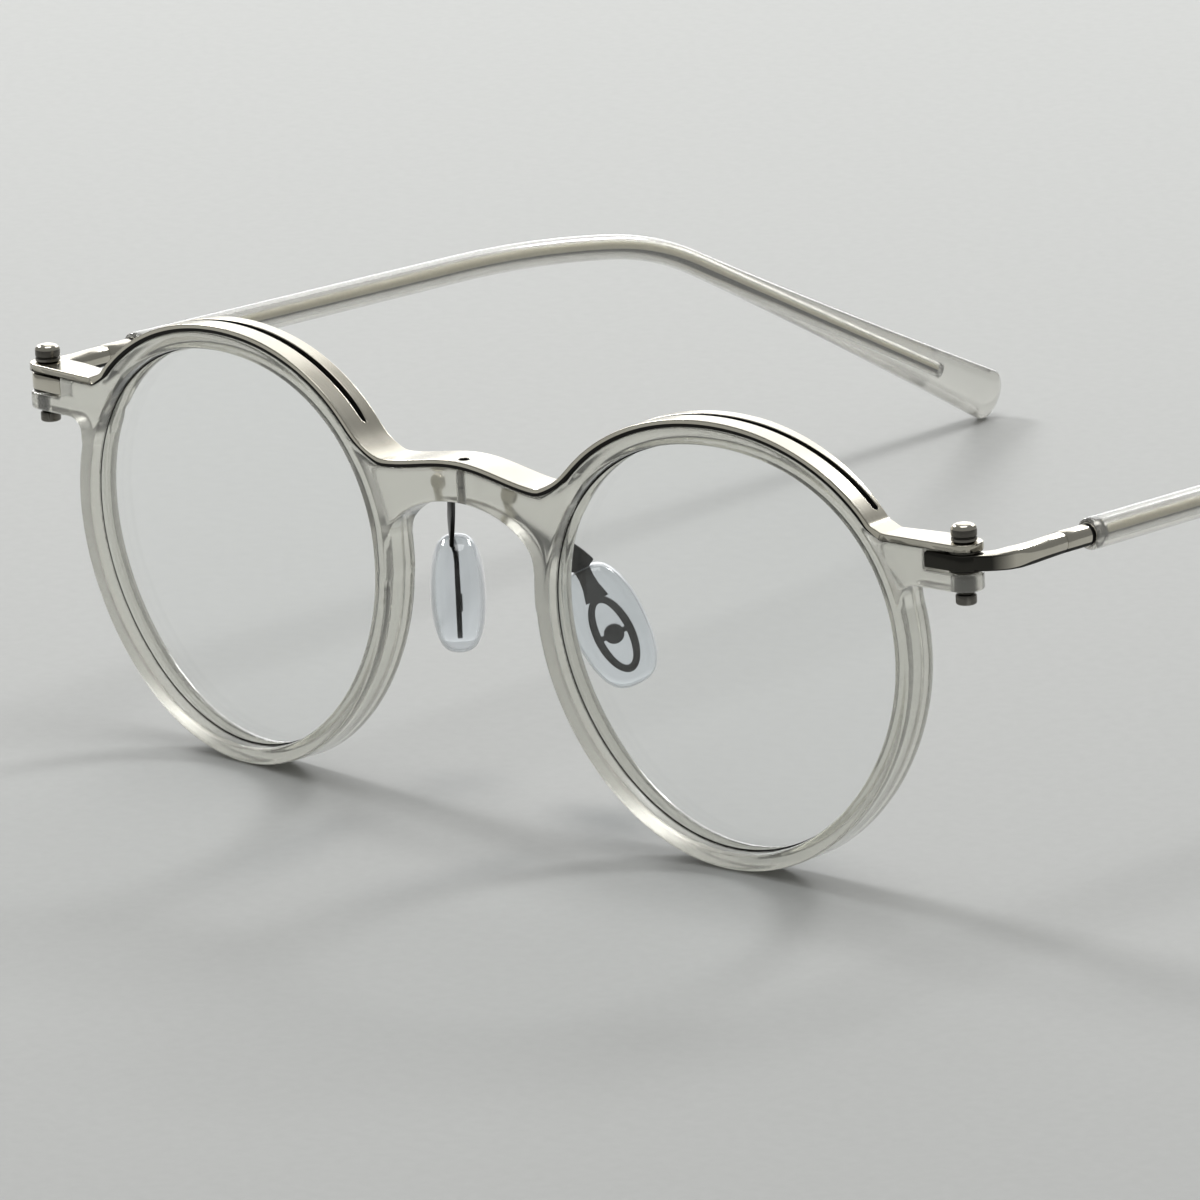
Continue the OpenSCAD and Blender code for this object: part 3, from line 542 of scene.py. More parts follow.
def acetate_front():
    """The solid front as a fine even skin, drawn onto the rounded form and evened out on it."""
    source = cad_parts["acetate_front"].data.copy()
    work = bmesh.new()
    work.from_mesh(source)
    bmesh.ops.remove_doubles(work, verts=work.verts, dist=1e-7)
    work.to_mesh(source)
    work.free()
    blank = shown("front_blank", source)
    sift = blank.modifiers.new("sift", "REMESH")
    sift.mode, sift.voxel_size = "VOXEL", 0.2 * MM
    mesh = finished(blank)
    p = np.empty(len(mesh.vertices) * 3)
    mesh.vertices.foreach_get("co", p)
    p = drawn_onto(p.reshape(-1, 3) / MM, front_distance, 4)
    ends = np.empty(len(mesh.edges) * 2, int)
    mesh.edges.foreach_get("vertices", ends)
    one, other = ends[::2], ends[1::2]
    count = np.bincount(ends, minlength=len(p))[:, None]
    for _ in range(3):
        total = np.stack([np.bincount(one, p[other, k], len(p)) + np.bincount(other, p[one, k], len(p))
                          for k in range(3)], 1)
        p = drawn_onto(p + 0.5 * (total / count - p), front_distance, 2)
    mesh.vertices.foreach_set("co", (p * MM).ravel())
    mesh.update()
    mesh.shade_smooth()
    put("rims_and_bridge", mesh, ACETATE, "front", "acetate_front")


# Lenses: thin domed discs that sit in the groove of the rims, with a hairline of painted shade where they
# enter it
LENS_SIDES, LENS_PLAY, LENS_RADIUS, LENS_DOME, LENS_HOLLOW = 192, 0.04, 22.0, 1.0, 0.7


def lens(side, word):
    turn = full_turn(LENS_SIDES)
    edge = rim_edge(turn) - RIM_FACE + GROOVE - LENS_PLAY
    front, back = LENS_SET - LENS_THICK / 2 + LENS_PLAY, LENS_SET + LENS_THICK / 2 - LENS_PLAY
    seat = GROOVE - LENS_PLAY
    hairline = [1 - (seat + 0.13) / LENS_RADIUS, 1 - (seat - 0.07) / LENS_RADIUS]
    inside = [0.02, 0.2, 0.4, 0.6, 0.8, 0.93]
    rows = [(f, front - LENS_DOME * (1 - f * f)) for f in inside + hairline]
    rows += [(1.0, front + 0.25), (1.0, back - 0.25)]
    rows += [(f, back - LENS_HOLLOW * (1 - f * f)) for f in (0.985, 0.93, 0.8, 0.6, 0.4, 0.2, 0.02)]
    rings = [on_half(ring_at(f * edge * np.cos(turn), y, f * edge * np.sin(turn)), side) for f, y in rows]
    # The hairline rows take painted shade
    mesh = marked(skin(rings, 30), lambda p: p.index // LENS_SIDES == len(inside))
    put(f"lens_disc_{word}", mesh, LENS, "front", f"lens_{word}", PAINTED_SHADE)


# Brow bar: one folded strip over both rims and the bridge. Painted shade darkens its slots, its underside
# but for the middle over the nose, and almost half of its front edge, of which the plates have only a thin
# line
FOLD_ROUND, FOLD_MITRE, EDGE_BREAK, OVER_NOSE, KINK_ROUNDS = 0.3, 0.44, 0.13, 7.5, 24


def softened(points, at, reach):
    """A row of points with the corner at one place rounded by five points."""
    p, a, b = points[at], points[at - 1], points[at + 1]
    start = p + (a - p) * min(0.5, reach / np.linalg.norm(a - p))
    end = p + (b - p) * min(0.5, reach / np.linalg.norm(b - p))
    return [start * (1 - f) ** 2 + 2 * f * (1 - f) * p + end * f * f for f in (0, 0.25, 0.5, 0.75, 1)]


def bar_rows():
    """Rows across the strip from the plate's round end to the nose. Each has four points below and
    four above, at the front, both sides of the slot and the rear, and says whether the slot is there."""
    plate_end = np.radians(np.linspace(90, 0, 10))
    plate = [PIN_X + PIN_Y * math.sin(a) for a in plate_end]
    plate += [NOTCH_X, (NOTCH_X + PLATE_ROOT) / 2, PLATE_ROOT]
    width = [(PIN_Y - PIN_Y * math.cos(a), PIN_Y + PIN_Y * math.cos(a)) for a in plate_end]
    low, top = [(x, PLATE_LOW) for x in plate], [(x, PLATE_HIGH) for x in plate]
    top[-1] = (PLATE_ROOT + FOLD_MITRE * BAR_THICK, PLATE_HIGH)
    temple_fold = len(low) - 1
    slot_round = math.degrees(SLOT_WIDTH / 2 / SLOT_RADIUS)
    ends = [end + slot_round * f for end, way in ((SLOT_START, -1), (SLOT_END, 1))
            for f in (0, way * 0.4, way * 0.7, way * 0.9, way)]
    angles = sorted(set(np.round(np.concatenate([np.linspace(BROW_END, BROW_START, 75), ends]), 4)))
    angles = [a for i, a in enumerate(angles) if a in ends or i == 0 or a - angles[i - 1] > 0.12]
    slot = [None] * len(low)
    for a in angles:
        low.append(rim_point(a))
        top.append(rim_point(a, BAR_THICK))
        past = max(SLOT_START - a, a - SLOT_END, 0) / slot_round
        slot.append(SLOT_WIDTH / 2 * math.sqrt(max(0, 1 - past * past)) if past < 1.0001 else None)
    low, top = [np.array(p) for p in low], [np.array(p) for p in top]
    rows = []
    for i, both in enumerate(zip(low, top)):
        pairs = [both]
        if i in (temple_fold, temple_fold + 1):
            pairs = zip(softened(low, i, FOLD_ROUND), softened(top, i, FOLD_ROUND))
        for pair in pairs:
            front, rear = width[i] if i < len(width) else (0.0, np.interp(
                pair[0][0], [RIM_HALF / 6, PLATE_ROOT, NOTCH_X], [BAR_WIDTH, BAR_NECK, LUG_DEPTH]))
            middle = (front + rear) / 2
            if rear - front > 0.1:
                middle = min(max(SLOT_SET, front + 0.02), rear - 0.02)
            half = slot[i] or 0.0
            across = (front, middle - half, middle + half, rear)
            rows.append([on_half([(x, y, z) for y in across], 1) for x, z in pair] + [slot[i] is not None])
    across = [BRIDGE_FRONT + w for w in (0, SLOT_SET, SLOT_SET, BAR_WIDTH)]
    for f in np.linspace(0.035, 1, 22):
        x = BRIDGE_JOIN * (1 - f)
        z = bridge_line(min(x, BRIDGE_LOW_X))
        if x > BRIDGE_LOW_X:
            z = part_way(z, rim_point(BROW_START)[1], (x - BRIDGE_LOW_X) / (BRIDGE_JOIN - BRIDGE_LOW_X))
        rows.append([on_middle([(x, y, z + rise) for y in across]) for rise in (0, BAR_THICK)] + [False])
    return eased(rows)


def eased(rows):
    """Rounds the kink where the strip leaves the rim for the bridge, as the folding tool does."""
    for _ in range(KINK_ROUNDS):
        before = [(row[0].copy(), row[1].copy()) for row in rows]
        for i in range(1, len(rows) - 1):
            reach = abs(before[i][0][0][0] / MM - BRIDGE_JOIN)
            share = 0.5 * ease(1.6 - reach / 2.2)
            for k in (0, 1):
                rows[i][k] = part_way(before[i][k], (before[i - 1][k] + before[i + 1][k]) / 2, share)
    return rows


def brow_bar():
    rows = bar_rows()
    mirrored = [[low * [-1, 1, 1], top * [-1, 1, 1], cut] for low, top, cut in rows[:-1]]
    rows = rows + mirrored[::-1]
    points, faces, dark = [], [], []
    for low, top, _ in rows:
        x = abs(low[0][0]) / MM
        # Share of the front edge's height that takes painted shade: a thin line on the plates, almost half
        # elsewhere
        painted_shade_share = 0.06 + 0.42 * ease((PLATE_ROOT + LENS_HALF - x) / 3)
        points += list(low) + list(top) + [part_way(low[0], top[0], painted_shade_share)]
    for r in range(len(rows) - 1):
        a, b = 9 * r, 9 * (r + 1)
        open_slot = rows[r][2] and rows[r + 1][2]
        over_nose = abs(rows[r][0][0][0]) < OVER_NOSE * MM
        for c in range(3):
            if c == 1 and open_slot:
                continue
            # The underside takes painted shade, but not over the nose
            if not over_nose:
                dark.append(len(faces))
            faces.append((a + c, a + c + 1, b + c + 1, b + c))
            faces.append((a + 4 + c, b + 4 + c, b + 5 + c, a + 5 + c))
        # The lower part of the front edge takes painted shade
        dark.append(len(faces))
        faces.append((a, b, b + 8, a + 8))
        faces.append((a + 8, b + 8, b + 4, a + 4))
        faces.append((a + 3, a + 7, b + 7, b + 3))
        # The slot's walls take painted shade
        if open_slot:
            dark += [len(faces), len(faces) + 1]
            faces.append((a + 1, a + 5, b + 5, b + 1))
            faces.append((a + 2, b + 2, b + 6, a + 6))
    strip = mesh_from(points, faces, 0, dark)
    reach = [(0.01, BRIDGE_TOP - 1), (SCREW_HOLE, BRIDGE_TOP - 1), (SCREW_HOLE, BRIDGE_TOP + 2),
             (0.01, BRIDGE_TOP + 2)]
    # The drill's faces carry painted shade into the walls of the screw hole
    drill = marked(turned(reach, at_screw, 40, 0), lambda p: True)
    blank, bit = shown("bar_blank", strip), shown("drill", drill)
    for mesh in (strip, drill):
        mesh.materials.append(BAR_METAL)
        mesh.materials.append(PAINTED_SHADE)
    hole = blank.modifiers.new("screw hole", "BOOLEAN")
    hole.operation, hole.object, hole.solver = "DIFFERENCE", bit, "EXACT"
    mesh = finished(blank)
    bpy.data.objects.remove(bit)
    mesh.shade_smooth()
    mesh.set_sharp_from_angle(angle=math.radians(35))
    bar = put("brow_strip", mesh, BAR_METAL, "front", "brow_bar", PAINTED_SHADE)
    edge = bar.modifiers.new("broken edges", "BEVEL")
    edge.width, edge.segments, edge.limit_method = EDGE_BREAK * MM, 3, "ANGLE"
    edge.angle_limit, edge.use_clamp_overlap, edge.harden_normals = math.radians(40), False, True


# Bridge screw: dark shank in the acetate and a small socket head in the bar
def bridge_screw():
    high = BRIDGE_TOP + 0.55 * BAR_THICK
    profile = [(0.01, NOSE_ARCH + 0.05), (0.4, NOSE_ARCH + 0.05), (0.55, NOSE_ARCH + 0.25), (0.55, 11.2),
               (0.46, 11.25), (0.46, 11.45), (0.55, 11.5), (0.55, BRIDGE_TOP - 0.05), (0.52, BRIDGE_TOP),
               (0.52, high - 0.05), (0.47, high), (0.32, high), (0.28, high - 0.3), (0.01, high - 0.32)]
    put("nose_screw", turned(profile, at_screw, 48), FASTENER, "front", "bridge_screw")


# Hinge hardware: a domed bolt head on the plate, the shank through the leaf and the nut below
def hinge_hardware(side, word):
    def place(p):
        return on_half(p + [PIN_X, PIN_Y, 0], side)

    r, base, high = BOLT_HEAD_D / 2, PLATE_HIGH, PLATE_HIGH + BOLT_HEAD_H
    shank_end = LUG_LOW - NUT_H + 0.2
    bolt = [(0.01, shank_end), (BOLT_D / 2, shank_end), (BOLT_D / 2, base), (r - 0.3, base + 0.01),
            (r - 0.12, base + 0.05), (r, base + 0.18), (r, base + 0.42), (r - 0.07, base + 0.5),
            (r - 0.07, base + 0.6), (r, base + 0.68), (r, high - 0.56), (r - 0.05, high - 0.44),
            (r - 0.17, high - 0.26), (r - 0.34, high - 0.14), (r - 0.6, high - 0.06),
            (r - 0.9, high - 0.015), (0.01, high)]
    # The dome's top half millimetre takes the bright rod finish: a painted highlight on the dark head
    mesh = marked(turned(bolt, place), lambda p: p.center.z > (RIM_RISE + high - 0.5) * MM)
    put(f"bolt_{word}", mesh, FASTENER, "front", f"hinge_bolt_{word}", ARM_METAL)
    r, low = NUT_D / 2, LUG_LOW - NUT_H
    nut = [(0.01, low + 0.1), (r - 0.35, low + 0.05), (r - 0.16, low), (r - 0.04, low + 0.08),
           (r, low + 0.2), (r, LUG_LOW - 0.62), (r - 0.05, LUG_LOW - 0.5), (r - 0.2, LUG_LOW - 0.42),
           (r - 0.22, LUG_LOW - 0.3), (r - 0.16, LUG_LOW - 0.12), (r - 0.16, LUG_LOW), (0.01, LUG_LOW)]
    put(f"nut_{word}", turned(nut, place), FASTENER, "front", f"hinge_nut_{word}")


def pad_rivet(side, word):
    """Short rivet with a low dome. It stands on the eyelet and goes no deeper than shows."""
    def place(p):
        y = BRIDGE_BACK + 0.06 + STRIP_THICK + p[:, 2]
        return on_middle(ring_at(side * (RIVET_X + p[:, 0]), y, RIVET_Z + p[:, 1]))

    dome = [(0.01, -0.5), (0.48, -0.5), (0.5, -0.42), (0.5, 0.0), (0.86, 0.0), (0.9, 0.05), (0.86, 0.17),
            (0.72, 0.3), (0.5, 0.4), (0.26, 0.44), (0.01, 0.45)]
    put(f"rivet_{word}", turned(dome, place, 40), ARM_METAL, "front", f"pad_rivet_{word}")


# Temples: the flat leaf, its bend and the round arm are one rod, whose wire runs on in the sleeve.
# Its line starts behind the bend and is summed up in short steps. It turns from flat to round between
# GROW_FROM in the bend and GROW_END on the line. Painted shade darkens its faces that lie lower in their
# ring than the arm's shade height, and on the wire those between the two heights of its shade band
STEP, RING_SIDES = 0.02, 40
EAR_END = STRAIGHT_RUN + BOW_RUN + EAR_RUN
steps = np.arange(0, 160, STEP)
slopes = np.interp(steps, [0, STRAIGHT_RUN, STRAIGHT_RUN + BOW_RUN, EAR_END],
                   [SLOPE, SLOPE, BOW_ANGLE, EAR_ANGLE])
between = slopes[:-1] + np.diff(slopes) / 2
line_along = np.append(0, np.cumsum(np.cos(between) * STEP))
line_down = np.append(0, np.cumsum(np.sin(between) * STEP))
GROW_FROM, GROW_END = math.radians(-50), 2.4
GROW_RUN = ARM_BEND * (-ARM_LEAN - GROW_FROM) + GROW_END
WIRE_START, WIRE_END = COLLAR_END - 0.5, TIP_RUN - WIRE_SHORT
ARM_SHADE_BELOW, WIRE_SHADE_BAND = -0.4, (-0.85, -0.15)


def temple_ring(t, half_side, up, down, square=2.0):
    """A ring across the temple's line, rounder or squarer by the power given."""
    c, s = squared(full_turn(RING_SIDES), 2 / square)
    tilt = np.interp(t, steps, slopes)
    along = np.interp(t, steps, line_along)
    drop = np.interp(t, steps, line_down)
    h = np.where(s > 0, s * up, s * down)
    return ring_at(half_side * c, along + h * math.sin(tilt), -drop + h * math.cos(tilt))


def round_ring(t, r, side):
    return on_arm(temple_ring(t, r, r, r), side)


def ring_height(face):
    """How high a side face lies in its ring, from -1 to 1."""
    return math.sin((face.index % RING_SIDES + 0.5) / RING_SIDES * 2 * math.pi)


def arm_rod(side, word):
    leaf, arm = (LEAF_HIGH - LEAF_LOW) / 2, ARM_D / 2
    rings = []
    for turn in np.linspace(-math.pi / 2, -ARM_LEAN, 22):
        f = ease(ARM_BEND * (turn - GROW_FROM) / GROW_RUN)
        c, s = squared(full_turn(RING_SIDES), 2 / (8 - 5.4 * f))
        r = ARM_BEND + part_way(ARM_WIDTH / 2, arm, f) * c
        half = part_way(leaf, arm, f)
        z = HINGE_HEIGHT + np.where(s > 0, half - ARM_SAG * f, half + ARM_SAG * f) * s
        x, y = PIN_X + r * math.cos(turn), PIN_Y + ARM_BEND + r * math.sin(turn)
        rings.append(on_half(ring_at(x, y, z), side))
    places = [(t, 1.0) for t in (0.3, 0.6, 0.9, 1.2, 1.5, 1.8, 2.1, 2.4, 3.2, 4.0, 5.0, SEAM_RUN - 0.12)]
    for t, trim in places + [(SEAM_RUN - 0.02, 0.97), (SEAM_RUN, 0.9)]:
        f = ease(1 - (GROW_END - t) / GROW_RUN)
        half, sag = part_way(leaf, arm, f), ARM_SAG * f * min(1, (SEAM_RUN - t) / 4)
        square = 2 + max(0.0, 6 - 5.4 * f) * ease(1 - t / 5)
        wide = part_way(ARM_WIDTH / 2, arm, f) * trim
        rings.append(on_arm(temple_ring(t, wide, (half - sag) * trim, (half + sag) * trim, square), side))
    rings += [round_ring(t, WIRE_D / 2, side) for t in (SEAM_RUN + 0.001, WIRE_START)]
    ends = RING_SIDES * (len(rings) - 1)
    # Faces low in their ring take painted shade
    mesh = marked(skin(rings, 50), lambda p: p.index < ends and ring_height(p) < ARM_SHADE_BELOW)
    put(f"arm_rod_{word}", mesh, LEAF_METAL if side > 0 else ARM_METAL, f"temple_{word}",
        f"temple_arm_{word}", PAINTED_SHADE)


def core_wire(side, word):
    """The rod's thin end inside the sleeve, pale above, with painted shade along its lower sides."""
    places = [(t, 1.0) for t in np.arange(WIRE_START, WIRE_END - 0.5, 1.5)]
    places += [(WIRE_END - 0.25, 0.97), (WIRE_END - 0.1, 0.85), (WIRE_END, 0.55)]
    rings = [round_ring(t, WIRE_D / 2 * share, side) for t, share in places]
    ends = RING_SIDES * (len(rings) - 1)
    # Faces in the lower band take painted shade
    mesh = marked(skin(rings, 50), lambda p: p.index < ends and WIRE_SHADE_BAND[0] < ring_height(p) < WIRE_SHADE_BAND[1])
    put(f"core_wire_{word}", mesh, WIRE_METAL, f"temple_{word}", second=PAINTED_SHADE)


def leaf_points():
    """Outline of the leaf round its bolt: square in front, where it stops, and round behind."""
    r = LUG_DEPTH / 2 - 0.2
    out = [(r * math.cos(a), r * math.sin(a)) for a in np.radians(np.linspace(-90, 90, 25))]
    reach = math.sqrt(LEAF_TONGUE ** 2 - r ** 2)
    out += [(-reach * f, r) for f in (0.5, 1.0)]
    start = math.atan2(r, -reach)
    out += [(LEAF_TONGUE * math.cos(a), LEAF_TONGUE * math.sin(a))
            for a in np.linspace(start, math.pi, 9)[1:]]
    return out + [(-LEAF_TONGUE, -r * 0.5), (-LEAF_TONGUE, -r), (-LEAF_TONGUE / 2, -r)]


def hinge_leaf(side, word):
    outline = np.array(leaf_points())
    away = outline - outline.mean(0)
    away /= np.linalg.norm(away, axis=1, keepdims=True)
    rings = []
    for shrink, z in ((0.16, LEAF_LOW), (0.05, LEAF_LOW + 0.05), (0.0, LEAF_LOW + 0.16),
                      (0.0, LEAF_HIGH - 0.28), (0.09, LEAF_HIGH - 0.09), (0.26, LEAF_HIGH)):
        inset = outline - away * shrink
        rings.append(on_half(ring_at(inset[:, 0] + PIN_X, inset[:, 1] + PIN_Y, z), side))
    put(f"leaf_{word}", skin(rings, 30), LEAF_METAL if side > 0 else ARM_METAL, f"temple_{word}")


def collar(side, word):
    """Its bare part goes on from the arm with painted shade below, then comes a groove darkened by painted
    shade, and the seat of the sleeve.
    """
    seat, joint = COLLAR_D / 2, ARM_D / 2
    places = [(SEAM_RUN + 0.01, joint * 0.92), (SEAM_RUN + 0.03, joint * 0.98), (SEAM_RUN + 0.1, joint),
              (SEAM_RUN + 1.4, joint), (BARE_RUN - 0.75, joint), (BARE_RUN - 0.55, seat + 0.01),
              (BARE_RUN - 0.4, seat), (BARE_RUN - 0.35, seat - 0.16), (BARE_RUN - 0.05, seat - 0.16),
              (BARE_RUN, seat), (COLLAR_END - 0.1, seat), (COLLAR_END, seat * 0.9)]

    # Painted shade below on the first rows and in the groove
    def dark(p):
        row = p.index // RING_SIDES
        return row < 5 and ring_height(p) < ARM_SHADE_BELOW or 5 <= row < 9

    mesh = marked(skin([round_ring(t, r, side) for t, r in places], 30), dark)
    put(f"collar_{word}", mesh, ARM_METAL, f"temple_{word}", f"temple_collar_{word}",
        PAINTED_SHADE)


# Sleeve: its outside from the tip to the mouth, then the pocket round the collar and the wire's bore
TIP_ROUND, TIP_BLUNT, SLEEVE_SQUARE = 0.32 * SLEEVE_TIP, 5 / 5.3, 2.2
POCKET, WIRE_BORE = COLLAR_D / 2 + 0.06, 0.74


def sleeve_heights(t):
    """How far the sleeve reaches above and below its line."""
    waist = SLEEVE_WAIST / 2
    if t < EAR_END:
        half = part_way(SLEEVE_MOUTH / 2, waist, t / EAR_END)
        return half, half
    swell = min(1, (t - EAR_END) / (TIP_RUN - TIP_ROUND - EAR_END)) ** 1.5
    return part_way(waist, 0.46 * SLEEVE_TIP, swell), part_way(waist, 0.54 * SLEEVE_TIP, swell)


def sleeve(side, word):
    def outside(t, share, heights):
        up, down = heights
        ring = temple_ring(t, SLEEVE_SIDE / 2 * share, up * share, down * share, SLEEVE_SQUARE)
        return on_arm(ring, side)

    rings = []
    for f in (0.995, 0.98, 0.95, 0.9, 0.82, 0.7, 0.55, 0.35, 0.15):
        t = TIP_RUN - TIP_ROUND + TIP_ROUND * f * TIP_BLUNT
        share = math.sqrt(1 - (f * TIP_BLUNT) ** 2)
        if f > 0.95:
            share *= 0.25 + 0.75 * min(1, (1 - f) / 0.05)
        rings.append(outside(t, share, sleeve_heights(t)))
    rings += [outside(t, 1.0, sleeve_heights(t)) for t in np.arange(TIP_RUN - TIP_ROUND, BARE_RUN + 1, -1.2)]
    for t, share in ((0.5, 1.0), (0.28, 0.985), (0.12, 0.95), (0.03, 0.89), (0.0, 0.82)):
        rings.append(outside(BARE_RUN + t, share, sleeve_heights(BARE_RUN)))
    for t, r in ((0.03, 1.16), (0.15, POCKET + 0.03), (0.4, POCKET), (1.2, POCKET), (1.26, POCKET - 0.12),
                 (1.3, 0.78)):
        rings.append(round_ring(BARE_RUN + t, r, side))
    for t in np.append(np.arange(BARE_RUN + 2, WIRE_END, 1.5), WIRE_END + 0.3):
        rings.append(round_ring(t, WIRE_BORE, side))
    put(f"sleeve_{word}", skin(rings, 0), SLEEVE_ACETATE, f"temple_{word}",
        f"temple_sleeve_{word}")


# Nose pads: the metal strip and its oval core, and the silicone moulded round the core
CORE_LENGTH, CORE_WIDTH, CORE_RIM, CORE_LOW = 0.64 * PAD_LENGTH, 0.52 * PAD_WIDTH, 0.74, 0.07 * PAD_LENGTH
NECK_TOP, STRIP_REACH = 0.538 * PAD_LENGTH, PAD_PLACE[1] - BRIDGE_BACK
STRIP_LEAN = np.array([0.3, -0.3, 0.0])


def strip_line(f):
    """The strip's middle line, from its foot behind the bridge to its shoulder above the pad."""
    foot = np.array([RIVET_X, BRIDGE_BACK + 0.03 + STRIP_THICK / 2, RIVET_Z - FOOT_WIDTH / 2 + 0.05])
    posts = [foot + [-0.12, 0, 0], foot + [-0.3, 0.25, -0.3 * STRIP_REACH]]
    posts += [from_pad([0, 0, NECK_TOP + rise * STRIP_REACH]) + STRIP_LEAN for rise in (0.45, 0)]
    return sum(math.comb(3, k) * f ** k * (1 - f) ** (3 - k) * post for k, post in enumerate(posts))


def pad_strip(side, word):
    """Eyelet round the rivet, bent strip, then the shoulder and the stalk down to the core."""
    c, s = squared(full_turn(24), 0.35)

    def ring(middle, half, across, out):
        points = middle + np.outer(c * half, across) + np.outer(s * STRIP_THICK / 2, out)
        return on_middle(points * [side, 1, 1])

    rings = []
    foot = strip_line(0.0)
    for turn in np.radians([84, 70, 50, 30, 10, -10, -30, -45, -58]):
        middle = np.array([foot[0], foot[1], RIVET_Z + FOOT_WIDTH / 2 * math.sin(turn)])
        rings.append(ring(middle, FOOT_WIDTH / 2 * math.cos(turn), [1, 0, 0], [0, 1, 0]))
    neck_across, neck_out, neck_down = (from_pad(v) - PAD_PLACE for v in ([1, 0, 0], [0, 1, 0], [0, 0, -1]))
    for f in np.linspace(0.02, 1, 34):
        along = strip_line(min(1, f + 0.01)) - strip_line(max(0, f - 0.01))
        along /= np.linalg.norm(along)
        across = np.array([1.0, 0, 0]) * (1 - f) + neck_across * f
        across -= across.dot(along) * along
        across /= np.linalg.norm(across)
        half = part_way(STRIP_SLIM, SHOULDER, f ** 3.5) / 2
        rings.append(ring(strip_line(f), half, across, -np.cross(along, across)))
    for drop, half in ((0.12, 0.49 * SHOULDER), (0.25, 0.44 * SHOULDER), (0.36, 0.36 * SHOULDER),
                       (0.5, STALK_WIDTH / 2), (1.6, 0.44 * STALK_WIDTH), (2.7, 0.5 * STALK_WIDTH),
                       (3.5, 0.62 * STALK_WIDTH), (4.1, 0.7 * STALK_WIDTH)):
        middle = strip_line(1.0) - STRIP_LEAN * min(1, drop / 2) + neck_down * drop
        rings.append(ring(middle, half, neck_across, neck_out))
    # The foot above the nose arch takes the bright rod finish, a painted highlight so that it reads pale
    # through the bridge
    mesh = marked(skin(rings, 40), lambda p: p.center.z > (RIM_RISE + NOSE_ARCH - 0.9) * MM)
    put(f"pad_strip_{word}", mesh, PAD_METAL, "front", f"pad_arm_{word}", ARM_METAL)


def pad_core(side, word):
    """Oval stamped frame, with a crossbar and a round boss in its middle."""
    turn = full_turn(64)
    c, s = np.cos(turn), np.sin(turn)
    half = STRIP_THICK / 2 * 0.94
    oval = []
    for inset, y in ((0.06, -half), (0, -half + 0.06), (0, half - 0.06), (0.06, half),
                     (CORE_RIM - 0.06, half), (CORE_RIM, half - 0.06), (CORE_RIM, -half + 0.06),
                     (CORE_RIM - 0.06, -half)):
        w, h = CORE_WIDTH / 2 - inset, CORE_LENGTH / 2 - inset
        oval.append(on_pad(ring_at(w * c, y, h * s - CORE_LOW), side))
    boss = [on_pad(ring_at(r * c, y, r * s - CORE_LOW), side)
            for r, y in ((0.05, -half), (0.9, -half), (1.0, -half + 0.08), (1.0, half), (0.88, half + 0.12),
                         (0.05, half + 0.16))]
    c, s = squared(full_turn(16), 0.4)
    reach = CORE_WIDTH / 2 - CORE_RIM / 2
    bar = [on_pad(ring_at(x * reach, half * 0.8 * s, t * c - CORE_LOW), side)
           for x, t in ((-1.0, 0.42), (-0.7, 0.26), (0.7, 0.26), (1.0, 0.42))]
    for name, mesh in (("core", skin(oval, 30, loop=True)), ("boss", skin(boss, 40)), ("bar", skin(bar, 40))):
        put(f"pad_{name}_{word}", mesh, PAD_METAL, "front")


def silicone_pad(side, word):
    """A cushion, fullest in its middle and drawn in to its two round ends."""
    c, s = squared(full_turn(64), 0.82)
    rings = []
    for a in np.radians(np.linspace(-89.4, 89.4, 44)):
        z, f = PAD_LENGTH / 2 * math.sin(a), math.cos(a) ** 0.62
        rings.append(on_pad(ring_at(PAD_WIDTH / 2 * f * c, PAD_THICK / 2 * f ** 0.9 * s, z), side))
    pad = put(f"silicone_pad_{word}", skin(rings, 0), SILICONE, "front", f"nose_pad_{word}")


SIDES = ((-1, "left"), (1, "right"))
acetate_front()
for side, word in SIDES:
    lens(side, word)
brow_bar()
bridge_screw()
for side, word in SIDES:
    for piece in (hinge_hardware, arm_rod, core_wire, hinge_leaf, collar, sleeve, pad_strip, pad_core,
                  silicone_pad, pad_rivet):
        piece(side, word)
    for node, finish in (("upper_washer", WASHER), ("lower_washer", WASHER), ("lug_bush", PAD_METAL)):
        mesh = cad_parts[f"{node}_{word}"].data
        mesh.materials.clear()
        mesh.materials.append(finish)


# Floor, lamps and camera. The walls are pale to the camera and through clear plastic, and light little
FLOOR_RADIUS, FLOOR_SIDES, LAMPS_AIM = 0.8, 96, Vector((0, 0, 0.02))
STAND_AT = (0.95005, -1.043015, 0.39018)
STAND_RIGHT, STAND_DOWN = (0.72792, 0.68432, -0.0430), (0.14936, -0.21945, -0.96412)
STAND_AHEAD = (-0.6692, 0.69538, -0.26195)


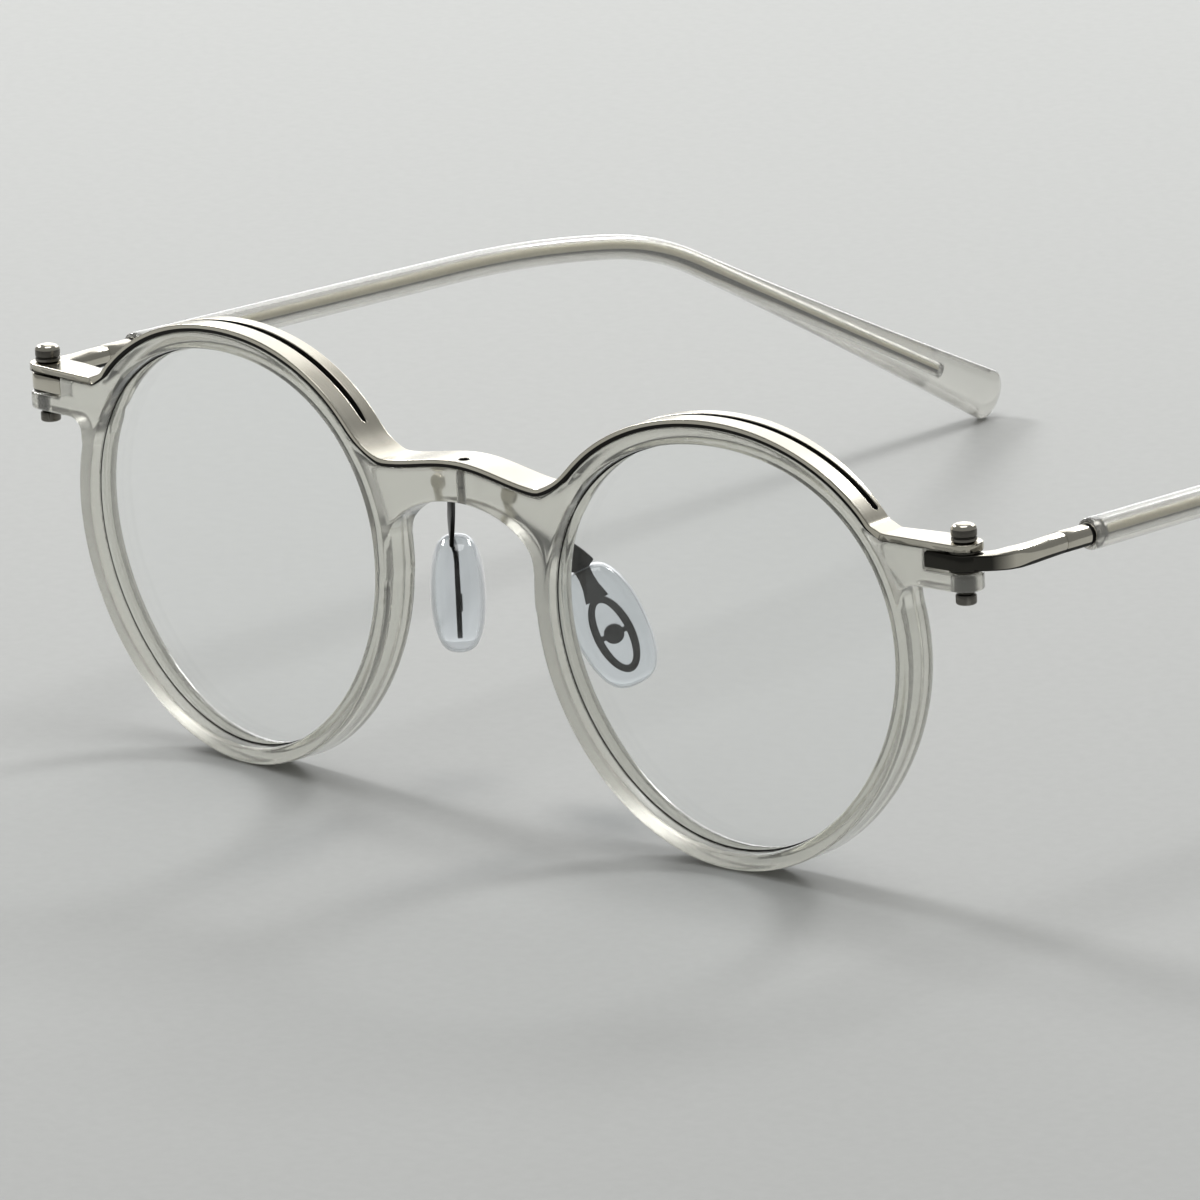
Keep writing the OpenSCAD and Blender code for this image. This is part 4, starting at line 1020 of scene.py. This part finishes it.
def pale_floor():
    # Matt paper sweep: even pale grey with the faint mottle of card
    finish, tree, where = new_finish("matt card, pale grey")
    mottle = add(tree, "TexNoise", Vector=where, Scale=700.0, Detail=4.0)
    colour = add(tree, "Mix", {"data_type": "RGBA"}, Factor=mottle,
                 n6=linear("#C4C5C3"), n7=linear("#BCBDBB"))
    body = add(tree, "BsdfPrincipled", Base_Color=colour.outputs[2], Roughness=0.75)
    mesh = bpy.data.meshes.new("floor")
    turn = full_turn(FLOOR_SIDES)
    edge = ring_at(FLOOR_RADIUS * np.cos(turn), FLOOR_RADIUS * np.sin(turn), -0.02 * MM)
    mesh.from_pydata([tuple(p) for p in edge], [], [tuple(range(FLOOR_SIDES))])
    mesh.materials.append(closed(finish, body))
    shown("floor", mesh)


def softbox(name, place, size, watts):
    lamp = bpy.data.lights.new(name, "AREA")
    lamp.shape, lamp.size, lamp.size_y, lamp.energy = "RECTANGLE", size[0], size[1], watts
    box = shown(name, lamp)
    box.location = place
    box.rotation_euler = (LAMPS_AIM - Vector(place)).to_track_quat("-Z", "Y").to_euler()
    box.visible_camera = box.visible_transmission = False


def studio():
    pale_floor()
    softbox("overhead", (-0.1, 0.1, 1.2), (0.6, 0.6), 3.6)
    softbox("back left", (-1.05, 0.1, 0.8), (0.3, 0.3), 6.0)
    softbox("back right", (-0.1, 1.15, 0.8), (0.3, 0.3), 6.0)
    softbox("back panel", (-1.0, 1.05, 0.42), (1.7, 0.6), 6.0)
    softbox("high panel", (-0.62, 1.05, 0.98), (1.2, 0.55), 3.4)
    world = bpy.data.worlds.new("studio walls")
    world.use_nodes = True
    tree = world.node_tree
    tree.nodes.clear()
    path = add(tree, "LightPath")
    seen = add(tree, "Math", {"operation": "MAXIMUM"}, n0=path.outputs["Is Camera Ray"],
               n1=path.outputs["Is Transmission Ray"])
    walls = add(tree, "Background", Color=linear("#C9CAC8"), Strength=0.4)
    pale = add(tree, "Background", Color=linear("#C4C5C3"), Strength=1.0)
    mix = add(tree, "MixShader", n0=seen, n1=walls, n2=pale)
    add(tree, "OutputWorld", Surface=mix)
    bpy.context.scene.world = world


def camera():
    """The photograph's view. Its place and directions were solved from the two rims and the hinge."""
    eye = bpy.data.cameras.new("photograph's view")
    eye.lens, eye.sensor_width, eye.sensor_fit = 420.0, 36.0, "HORIZONTAL"
    eye.clip_start, eye.clip_end = 0.05, 20.0
    stand = shown("photograph's view", eye)
    turn = Matrix((Vector(STAND_RIGHT), -Vector(STAND_DOWN), -Vector(STAND_AHEAD))).transposed().to_4x4()
    stand.matrix_world = Matrix.Translation(STAND_AT) @ turn
    bpy.context.scene.camera = stand


studio()
camera()
bpy.context.scene.view_settings.view_transform = "Standard"
